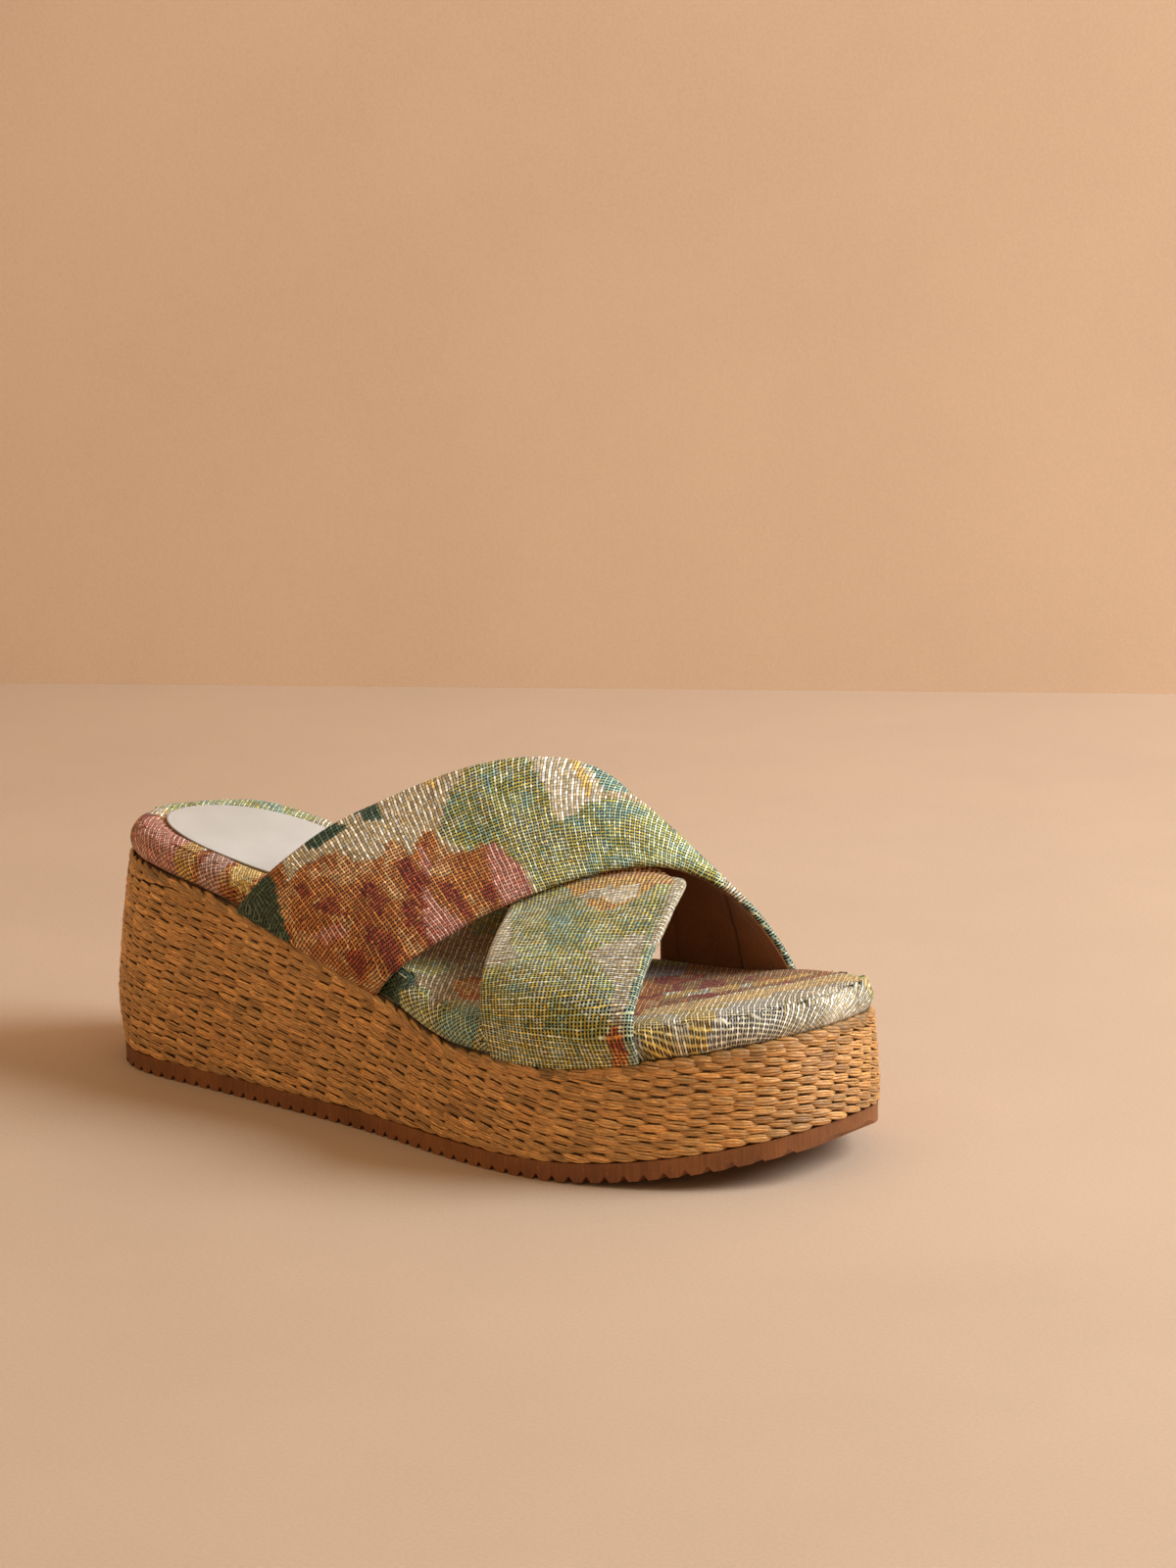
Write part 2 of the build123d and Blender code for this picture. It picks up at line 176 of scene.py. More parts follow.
def wall_at(s, z, extra):
    """Point of the leaning side wall at run s and height z, extra further in."""
    p, n = edge_at(s)
    x = p[..., 0]
    up = np.clip((z - 12.0) / (top_z(x) - 12.0), 0.0, 2.2) ** 1.6
    under = np.minimum(np.maximum((20.0 - z) / 15.0, 0.0) ** 1.5, 1.1)
    inset = extra + lean(x) * up + tuck(x) * under
    q = p - n * inset[..., None]
    return np.concatenate([q, np.broadcast_to(np.asarray(z, float), x.shape)[..., None]], -1)


def value_noise(p, seed):
    """Smooth noise of 2-D points, about -1 to 1."""
    g = np.random.default_rng(seed).uniform(-1, 1, (64, 64))
    p = np.asarray(p, float)
    i = np.floor(p).astype(int)
    f = p - i
    f = f * f * (3 - 2 * f)
    x0, y0 = i[..., 0] % 64, i[..., 1] % 64
    x1, y1 = (x0 + 1) % 64, (y0 + 1) % 64
    return ((g[x0, y0] * (1 - f[..., 0]) + g[x1, y0] * f[..., 0]) * (1 - f[..., 1])
            + (g[x0, y1] * (1 - f[..., 0]) + g[x1, y1] * f[..., 0]) * f[..., 1])


def walk(points, count, fine=96):
    pts = np.array(points, float)
    ext = np.concatenate([[2 * pts[0] - pts[1]], pts, [2 * pts[-1] - pts[-2]]])
    dense = []
    for i in range(1, len(ext) - 2):
        p0, p1, p2, p3 = ext[i - 1:i + 3]
        t1 = np.linalg.norm(p1 - p0) ** 0.5
        t2 = t1 + np.linalg.norm(p2 - p1) ** 0.5
        t3 = t2 + np.linalg.norm(p3 - p2) ** 0.5
        t = (t1 + (t2 - t1) * np.arange(fine) / fine)[:, None]
        a1 = p0 * ((t1 - t) / t1) + p1 * (t / t1)
        a2 = p1 * ((t2 - t) / (t2 - t1)) + p2 * ((t - t1) / (t2 - t1))
        a3 = p2 * ((t3 - t) / (t3 - t2)) + p3 * ((t - t2) / (t3 - t2))
        b1 = a1 * ((t2 - t) / t2) + a2 * (t / t2)
        b2 = a2 * ((t3 - t) / (t3 - t1)) + a3 * ((t - t1) / (t3 - t1))
        dense.append(b1 * ((t2 - t) / (t2 - t1)) + b2 * ((t - t1) / (t2 - t1)))
    dense = np.concatenate(dense + [pts[-1:]])
    run = np.concatenate([[0], np.cumsum(np.linalg.norm(np.diff(dense, axis=0), axis=1))])
    goal = np.linspace(0, run[-1], count + 1)
    return np.stack([np.interp(goal, run, dense[:, k]) for k in range(3)], -1)


# ------------------------------------------------------------------ mesh makers
def make_mesh(name, verts, faces, smooth=True, colors=None, vectors=None):
    me = bpy.data.meshes.new(name)
    me.from_pydata((np.asarray(verts) * MM).tolist(), [], [tuple(f) for f in faces])
    me.polygons.foreach_set("use_smooth", np.full(len(me.polygons), smooth))
    for key, val in (colors or {}).items():
        a = me.color_attributes.new(key, "FLOAT_COLOR", "POINT")
        rgba = val if val.shape[1] == 4 else np.concatenate([val, np.ones((len(val), 1))], 1)
        a.data.foreach_set("color", rgba.astype(np.float32).ravel())
    for key, val in (vectors or {}).items():
        a = me.attributes.new(key, "FLOAT_VECTOR", "POINT")
        a.data.foreach_set("vector", np.asarray(val, np.float32).ravel())
    me.update()
    ob = bpy.data.objects.new(name, me)
    bpy.context.scene.collection.objects.link(ob)
    return ob


def grid_faces(nu, nv, wrap_u=False, wrap_v=False, base=0, flip=False):
    iu = np.arange(nu if wrap_u else nu - 1)
    iv = np.arange(nv if wrap_v else nv - 1)
    a, b = np.meshgrid(iu, iv, indexing="ij")
    a, b = a.ravel(), b.ravel()
    a1, b1 = (a + 1) % nu, (b + 1) % nv
    f = np.stack([a * nv + b, a1 * nv + b, a1 * nv + b1, a * nv + b1], -1) + base
    return f[:, ::-1] if flip else f


def face_out(ob):
    """Turns the faces of a closed mesh outwards."""
    import bmesh
    bm = bmesh.new()
    bm.from_mesh(ob.data)
    bmesh.ops.recalc_face_normals(bm, faces=bm.faces)
    bm.to_mesh(ob.data)
    bm.free()
    ob.data.update()


def srgb(r, g, b):
    c = np.array([r, g, b], float) / 255.0
    return np.where(c <= 0.04045, c / 12.92, ((c + 0.055) / 1.055) ** 2.4)


def inside(poly, p):
    """Which points of p lie in the polygon."""
    x, y = p[:, 0], p[:, 1]
    hit = np.zeros(len(p), bool)
    q = np.array(poly, float)
    for i in range(len(q)):
        (xa, ya), (xb, yb) = q[i - 1], q[i]
        cross = (ya > y) != (yb > y)
        with np.errstate(divide="ignore", invalid="ignore"):
            hit ^= cross & (x < (xb - xa) * (y - ya) / (yb - ya) + xa)
    return hit


# ------------------------------------------------------------------ materials
class Nodes:
    """Short hand for building a node material."""

    def __init__(self, name):
        self.mat = bpy.data.materials.new(name)
        self.mat.use_nodes = True
        self.t = self.mat.node_tree
        self.t.nodes.clear()
        self.out = self.t.nodes.new("ShaderNodeOutputMaterial")
        self.bsdf = self.t.nodes.new("ShaderNodeBsdfPrincipled")
        self.t.links.new(self.bsdf.outputs[0], self.out.inputs["Surface"])

    def put(self, socket, value):
        if isinstance(value, bpy.types.NodeSocket):
            self.t.links.new(value, socket)
        elif hasattr(value, "__len__"):
            v = list(value)
            if socket.type == "RGBA" and len(v) == 3:
                v.append(1.0)
            socket.default_value = v
        else:
            socket.default_value = value

    def math(self, op, a, b=0.0, c=0.0, clamp=False):
        n = self.t.nodes.new("ShaderNodeMath")
        n.operation = op
        n.use_clamp = clamp
        for s, v in zip(n.inputs, (a, b, c)):
            self.put(s, v)
        return n.outputs[0]

    def smooth(self, x, lo, hi, a=0.0, b=1.0):
        n = self.t.nodes.new("ShaderNodeMapRange")
        n.interpolation_type = "SMOOTHSTEP"
        for k, v in (("Value", x), ("From Min", lo), ("From Max", hi), ("To Min", a), ("To Max", b)):
            self.put(n.inputs[k], v)
        return n.outputs["Result"]

    def mix(self, f, a, b, blend="MIX"):
        n = self.t.nodes.new("ShaderNodeMix")
        n.data_type = "RGBA"
        n.blend_type = blend
        n.clamp_result = False
        self.put(n.inputs[0], f)
        self.put(n.inputs[6], a)
        self.put(n.inputs[7], b)
        return n.outputs[2]

    def scale(self, color, f):
        n = self.t.nodes.new("ShaderNodeVectorMath")
        n.operation = "SCALE"
        self.put(n.inputs[0], color)
        self.put(n.inputs["Scale"], f)
        return n.outputs[0]

    def vmath(self, op, a, b):
        n = self.t.nodes.new("ShaderNodeVectorMath")
        n.operation = op
        self.put(n.inputs[0], a)
        self.put(n.inputs[1], b)
        return n.outputs[0]

    def attr(self, name, out="Color"):
        n = self.t.nodes.new("ShaderNodeAttribute")
        n.attribute_name = name
        return n.outputs[out]

    def split(self, v):
        n = self.t.nodes.new("ShaderNodeSeparateXYZ")
        self.put(n.inputs[0], v)
        return n.outputs

    def join(self, x, y, z):
        n = self.t.nodes.new("ShaderNodeCombineXYZ")
        for s, v in zip(n.inputs, (x, y, z)):
            self.put(s, v)
        return n.outputs[0]

    def coords(self):
        return self.t.nodes.new("ShaderNodeTexCoord").outputs["Object"]

    def noise(self, vec, scale, detail=2.0, rough=0.5, out="Fac"):
        n = self.t.nodes.new("ShaderNodeTexNoise")
        self.put(n.inputs["Vector"], vec)
        n.inputs["Scale"].default_value = scale
        n.inputs["Detail"].default_value = detail
        n.inputs["Roughness"].default_value = rough
        return n.outputs[out]

    def white(self, vec):
        n = self.t.nodes.new("ShaderNodeTexWhiteNoise")
        n.noise_dimensions = "3D"
        self.put(n.inputs["Vector"], vec)
        return n.outputs["Value"]

    def voronoi(self, vec, scale, feature="F1"):
        n = self.t.nodes.new("ShaderNodeTexVoronoi")
        n.feature = feature
        self.put(n.inputs["Vector"], vec)
        n.inputs["Scale"].default_value = scale
        return n.outputs["Distance"]

    def bump(self, height, strength, distance, normal=None):
        n = self.t.nodes.new("ShaderNodeBump")
        self.put(n.inputs["Height"], height)
        n.inputs["Strength"].default_value = strength
        n.inputs["Distance"].default_value = distance
        if normal is not None:
            self.put(n.inputs["Normal"], normal)
        return n.outputs[0]

    def finish(self, color, rough, normal=None, sheen=0.0, spec=0.5, sub=0.0, sheen_tint=None):
        b = self.bsdf.inputs
        self.put(b["Base Color"], color)
        self.put(b["Roughness"], rough)
        b["Specular IOR Level"].default_value = spec
        if sheen:
            b["Sheen Weight"].default_value = sheen
            b["Sheen Roughness"].default_value = 0.5
        if sub:
            b["Subsurface Weight"].default_value = sub
            b["Subsurface Radius"].default_value = (0.004, 0.0018, 0.0008)
        if normal is not None:
            self.put(b["Normal"], normal)
        return self.mat


THREAD = 0.745   # pitch of the threads that run across the cloth
WEFT = 1.11      # pitch of the threads that run along it
ROW = 2 * THREAD  # every second thread is a heavy one


def tapestry(name, hole_shade=0.16):
    """Jacquard: an open grid of heavy and fine light threads, the dark ground showing as holes, with painted
    shade making the holes darker still.
    """
    m = Nodes(name)
    cloth = m.attr("cloth", "Vector")
    wob = m.noise(m.scale(cloth, 0.16), 1.0, 2.0, 0.5, "Color")
    wob = m.vmath("SUBTRACT", wob, (0.5, 0.5, 0.5))
    cloth = m.vmath("ADD", cloth, m.scale(wob, 0.9))
    fine = m.vmath("SUBTRACT", m.noise(m.scale(cloth, 0.9), 1.0, 1.0, 0.5, "Color"), (0.5, 0.5, 0.5))
    cloth = m.vmath("ADD", cloth, m.scale(fine, 0.30))
    X, Y, _ = m.split(cloth)
    rx = m.math("DIVIDE", X, THREAD)
    ri = m.math("FLOOR", rx)
    rf = m.math("SUBTRACT", rx, ri)
    tri = m.math("SUBTRACT", 1.0, m.math("ABSOLUTE", m.math("MULTIPLY_ADD", rf, 2.0, -1.0)))
    heavy = m.math("MODULO", m.math("ABSOLUTE", ri), 2.0)
    cy = m.math("DIVIDE", Y, WEFT)
    ci = m.math("FLOOR", cy)
    cf = m.math("SUBTRACT", cy, ci)
    dot = m.math("SUBTRACT", 1.0, m.math("ABSOLUTE", m.math("MULTIPLY_ADD", cf, 2.0, -1.0)))
    wide = m.math("MULTIPLY_ADD", m.attr("ground", "Alpha"), 0.5, -0.25)
    warp = m.smooth(m.math("ADD", m.math("ADD", tri, m.math("MULTIPLY", heavy, 0.16)), wide), 0.54, 0.80)
    weft = m.smooth(m.math("SUBTRACT", dot, wide), 0.56, 0.80)
    parity = m.math("MODULO", m.math("ABSOLUTE", m.math("ADD", ri, ci)), 2.0)
    rowrand = m.white(m.join(ri, 0.0, 0.0))
    cellrand = m.white(m.join(ri, ci, 3.0))
    other = m.white(m.join(ci, ri, 11.0))
    light = m.attr("thread")
    second = m.attr("weft")
    dark = m.attr("ground")
    # painted shade: away from both threads the ground colour is darkened to 0.16 (footbed 0.18) of itself, the
    # shade deep in the holes
    shaded_hole_c = m.scale(dark, m.smooth(m.math("MAXIMUM", tri, dot), 0.12, 0.52, hole_shade, 1.0))
    thin = m.mix(0.34, second, dark)
    warp_c = m.mix(heavy, thin, m.scale(light, 1.16))
    warp_c = m.mix(m.smooth(other, 0.74, 0.80, 0.0, 0.8), warp_c, m.mix(0.25, second, dark))
    warp_c = m.scale(warp_c, m.smooth(rowrand, 0.0, 1.0, 0.84, 1.12))
    weft_c = m.mix(m.smooth(other, 0.10, 0.30), m.mix(0.55, light, dark), m.mix(0.16, second, dark))
    under = m.mix(weft, shaded_hole_c, weft_c)
    over = m.math("MULTIPLY", warp, m.math("SUBTRACT", 1.0, m.math(
        "MULTIPLY", m.math("MULTIPLY", weft, parity), 0.75)))
    # painted shade and light: each warp thread is darkened where it dips between crossings and lightened at
    # them
    color = m.mix(over, under, m.scale(warp_c, m.smooth(dot, 0.0, 0.7, 0.72, 1.12)))
    color = m.scale(color, m.smooth(cellrand, 0.0, 1.0, 0.68, 1.30))
    fibre = m.noise(m.vmath("MULTIPLY", cloth, (7.0, 2.4, 1.0)), 1.0, 2.0)
    color = m.scale(color, m.smooth(fibre, 0.3, 0.7, 0.86, 1.12))
    high = m.math("MAXIMUM", m.math("MULTIPLY", over, m.math("MULTIPLY_ADD", heavy, 0.25, 0.75)),
                  m.math("MULTIPLY", weft, 0.72))
    high = m.math("ADD", high, m.math("MULTIPLY", fibre, 0.2))
    n = m.bump(high, 0.8, 0.00030)
    return m.finish(color, m.smooth(high, 0.0, 1.0, 0.85, 0.60), n, sheen=0.10, spec=0.35)


def lining_material():
    m = Nodes("lining_microfibre")
    co = m.coords()
    cloud = m.noise(co, 45.0, 3.0)
    nap = m.noise(co, 1400.0, 3.0, 0.6)
    grain = m.noise(m.vmath("MULTIPLY", co, (900.0, 900.0, 300.0)), 1.0, 2.0)
    c = m.mix(m.smooth(cloud, 0.35, 0.65), srgb(122, 74, 38), srgb(146, 92, 50))
    c = m.scale(c, m.smooth(nap, 0.3, 0.7, 0.86, 1.1))
    # painted shade: the tint attribute darkens the lining in the seam's groove and along the fold's crease
    c = m.mix(1.0, c, m.attr("tint"), "MULTIPLY")
    n = m.bump(m.math("ADD", nap, m.math("MULTIPLY", grain, 0.6)), 0.35, 0.00012)
    return m.finish(c, 0.82, n, sheen=0.25, spec=0.25)


def raffia_material(name, dark):
    m = Nodes(name)
    cloth = m.attr("strand", "Vector")          # along, across, strand number
    tint = m.attr("tint")
    along, across, number = m.split(cloth)
    shift = m.math("MULTIPLY", number, 3.7)
    streak = m.noise(m.join(m.math("ADD", m.math("MULTIPLY", along, 0.35), shift),
                            m.math("MULTIPLY", across, 5.5), number), 1.0, 3.0, 0.6)
    fine = m.noise(m.join(m.math("MULTIPLY", along, 0.8), m.math("MULTIPLY", across, 16.0), number),
                   1.0, 2.0, 0.6)
    blot = m.noise(m.coords(), 60.0, 2.0)
    # the streaks are partly the fibres' own tone and partly painted highlight lines along the strands
    c = m.mix(m.smooth(streak, 0.34, 0.66), m.scale(tint, 0.58), m.scale(tint, 1.30))
    c = m.scale(c, m.smooth(fine, 0.3, 0.7, 0.74, 1.20))
    c = m.mix(m.smooth(blot, 0.52, 0.74, 0.0, 0.45), c, m.scale(tint, 0.72))
    # painted shade: the backing, seen only through the gaps between floats, is darkened to a fifth as the shade
    # there
    if dark:
        c = m.scale(c, 0.20)
    h = m.math("ADD", streak, m.math("MULTIPLY", fine, 0.5))
    n = m.bump(h, 0.6, 0.0003)
    return m.finish(c, m.smooth(streak, 0.3, 0.7, 0.56, 0.30), n, sheen=0.0, spec=0.6)


def rubber_material():
    m = Nodes("outsole_rubber")
    co = m.coords()
    x, y, z = m.split(co)
    mark = m.noise(m.join(m.math("MULTIPLY", x, 1500.0), m.math("MULTIPLY", y, 1500.0),
                          m.math("MULTIPLY", z, 90.0)), 1.0, 2.0, 0.6)
    cloud = m.noise(co, 55.0, 3.0)
    dust = m.noise(co, 900.0, 2.0)
    c = m.mix(m.smooth(cloud, 0.3, 0.7), srgb(120, 68, 27), srgb(144, 86, 40))
    c = m.scale(c, m.smooth(mark, 0.3, 0.72, 0.86, 1.12))
    c = m.mix(m.smooth(dust, 0.62, 0.75, 0.0, 0.25), c, srgb(190, 140, 95))
    n = m.bump(m.math("ADD", mark, m.math("MULTIPLY", dust, 0.3)), 0.55, 0.00022)
    return m.finish(c, m.smooth(mark, 0.3, 0.7, 0.62, 0.46), n, spec=0.45, sub=0.12)


def label_material():
    m = Nodes("label_leather")
    co = m.coords()
    grain = m.voronoi(co, 1500.0)
    cloud = m.noise(co, 38.0, 3.0)
    edge = m.attr("tint")
    c = m.mix(m.smooth(cloud, 0.3, 0.7), srgb(207, 201, 193), srgb(197, 191, 182))
    c = m.mix(1.0, c, edge, "MULTIPLY")
    n = m.bump(m.math("ADD", grain, m.noise(co, 500.0, 2.0)), 0.18, 0.0001)
    return m.finish(c, 0.5, n, spec=0.4)


def plain(name, a, b, scale, rough=0.85, cell=False, strength=0.4):
    """Foam, felt and board of the hidden layers."""
    m = Nodes(name)
    co = m.coords()
    cloud = m.noise(co, scale * 0.08, 3.0)
    grain = m.voronoi(co, scale) if cell else m.noise(co, scale, 4.0, 0.65)
    c = m.mix(m.smooth(cloud, 0.3, 0.7), srgb(*a), srgb(*b))
    c = m.scale(c, m.smooth(grain, 0.1, 0.7, 0.82, 1.08))
    return m.finish(c, rough, m.bump(grain, strength, 0.0003), spec=0.3)


MAT_STRAP = tapestry("strap_jacquard")
MAT_BED = tapestry("footbed_jacquard", 0.18)
MAT_LINING = lining_material()
MAT_RAFFIA = raffia_material("raffia_strands", False)
MAT_BACKING_SHADE = raffia_material("raffia_backing", True)
MAT_RUBBER = rubber_material()
MAT_LABEL = label_material()
MAT_WEDGE = plain("wedge_foam", (176, 152, 122), (160, 136, 108), 900, cell=True)
MAT_FILLER = plain("filler_felt", (160, 146, 122), (142, 128, 104), 1300)
MAT_BOARD = plain("insole_board", (176, 146, 108), (158, 128, 92), 1600)
MAT_FOAM = plain("soft_foam", (226, 216, 190), (212, 200, 172), 1500, cell=True, strength=0.7)


def wear(ob, mat):
    ob.data.materials.clear()
    ob.data.materials.append(mat)
    return ob


for key, mat in (("outsole", MAT_RUBBER), ("wedge_core", MAT_WEDGE), ("bottom_filler", MAT_FILLER),
                 ("insole_board", MAT_BOARD), ("footbed_foam", MAT_FOAM)):
    wear(nodes[key], mat)

# ------------------------------------------------------------------ cloth colours
# name: heavy thread, ground, second thread, share of the second thread
COLORS = {
    "cream": ((244, 236, 218), (150, 120, 76), (214, 184, 128), 0.30),
    "white": ((252, 247, 236), (188, 164, 124), (236, 214, 168), 0.25),
    "ivory": ((246, 240, 222), (92, 76, 54), (228, 204, 150), 0.3),
    "yellow": ((246, 204, 112), (176, 122, 46), (244, 222, 160), 0.35),
    "rust": ((234, 160, 84), (96, 26, 8), (216, 136, 64), 0.30),
    "ochre": ((224, 152, 58), (100, 40, 12), (196, 108, 44), 0.4),
    "burgundy": ((150, 42, 24), (74, 10, 6), (196, 104, 54), 0.3),
    "pink": ((240, 204, 182), (150, 52, 40), (226, 150, 118), 0.35),
    "mauve": ((220, 184, 172), (116, 62, 54), (226, 176, 140), 0.4),
    "leaf": ((232, 236, 212), (8, 60, 44), (238, 206, 88), 0.4),
    "leafdeep": ((176, 206, 178), (4, 46, 38), (214, 192, 80), 0.3),
    "sage": ((240, 242, 222), (34, 100, 72), (240, 216, 108), 0.35),
    "teal": ((170, 212, 204), (4, 66, 70), (212, 212, 150), 0.35),
    "forest": ((104, 124, 92), (14, 30, 20), (70, 90, 60), 0.5),
    "tealedge": ((176, 200, 176), (8, 40, 36), (220, 216, 170), 0.4),
    "gold": ((250, 218, 142), (126, 66, 26), (244, 190, 88), 0.4),
    "rustgold": ((240, 178, 116), (124, 46, 20), (244, 206, 136), 0.4),
    "grey": ((226, 210, 184), (112, 92, 66), (196, 164, 104), 0.3),
    "stone": ((176, 162, 152), (82, 64, 58), (158, 132, 112), 0.4),
    "brown": ((190, 132, 78), (62, 24, 12), (206, 158, 92), 0.35),
    "sand": ((240, 212, 152), (184, 142, 86), (226, 188, 116), 0.4),
    "straw": ((246, 230, 172), (96, 58, 22), (240, 204, 104), 0.35),
    "net": ((253, 249, 240), (70, 50, 34), (246, 234, 196), 0.3),
}
COLOR_KEYS = list(COLORS)
LIGHT = np.array([srgb(*COLORS[k][0]) for k in COLOR_KEYS])
DARK = np.array([srgb(*COLORS[k][1]) for k in COLOR_KEYS])
SECOND = np.array([srgb(*COLORS[k][2]) for k in COLOR_KEYS])
SHARE = np.array([COLORS[k][3] for k in COLOR_KEYS])
# how much the threads across the cloth cover those along it
OVER = {"cream": 0.95, "white": 1.0, "ivory": 0.85, "yellow": 0.95, "pink": 0.6, "gold": 0.25,
        "rustgold": 0.3, "straw": 0.4, "rust": 0.36, "ochre": 0.3, "grey": 0.7, "sand": 0.8,
        "leaf": 0.36, "sage": 0.44, "leafdeep": 0.30, "teal": 0.40, "net": 0.5, "burgundy": 0.35}
WIDE = np.array([OVER.get(k, 0.5) for k in COLOR_KEYS])
FLECKS = [("sage", "teal", "leaf"), ("leaf", "sage", "leafdeep"), ("rust", "rustgold", "burgundy"),
          ("gold", "rustgold", "ivory"), ("ochre", "rust", "burgundy"), ("brown", "ochre", "burgundy"),
          ("straw", "ivory", None), ("grey", "ivory", None)]


def paint(points, cells, base, patches, seed):
    """Thread and ground colour of each point. The patches are painted in order, and stepped to the weave."""
    kind = np.full(len(points), COLOR_KEYS.index(base))
    for color, poly in patches:
        kind[inside(poly, points)] = COLOR_KEYS.index(color)
    # the figure breaks up into smaller flecks of related colours
    blot = value_noise(cells * [0.30, 0.17], seed + 21) + 0.5 * value_noise(cells * [0.75, 0.38], seed + 22)
    for color, low, high in FLECKS:
        at = kind == COLOR_KEYS.index(color)
        if low:
            kind = np.where(at & (blot < -0.52), COLOR_KEYS.index(low), kind)
        if high:
            kind = np.where(at & (blot > 0.46), COLOR_KEYS.index(high), kind)
    pick = np.random.default_rng(seed).random((512, 512))
    ci = cells.astype(int)
    r = pick[ci[:, 0] % 512, ci[:, 1] % 512]
    drift = 0.5 + 0.5 * value_noise(cells * 0.22, seed + 1)
    streak = 0.5 + 0.5 * value_noise(cells * [0.83, 0.09], seed + 2)
    use2 = (0.34 * r + 0.26 * drift + 0.40 * streak) < SHARE[kind] * 0.55 + 0.20
    light = np.where(use2[:, None], SECOND[kind], LIGHT[kind])
    weft = np.where(use2[:, None], LIGHT[kind], SECOND[kind])
    dark = DARK[kind] * (0.85 + 0.3 * r[:, None])
    return light, weft, np.concatenate([dark, WIDE[kind][:, None]], 1)


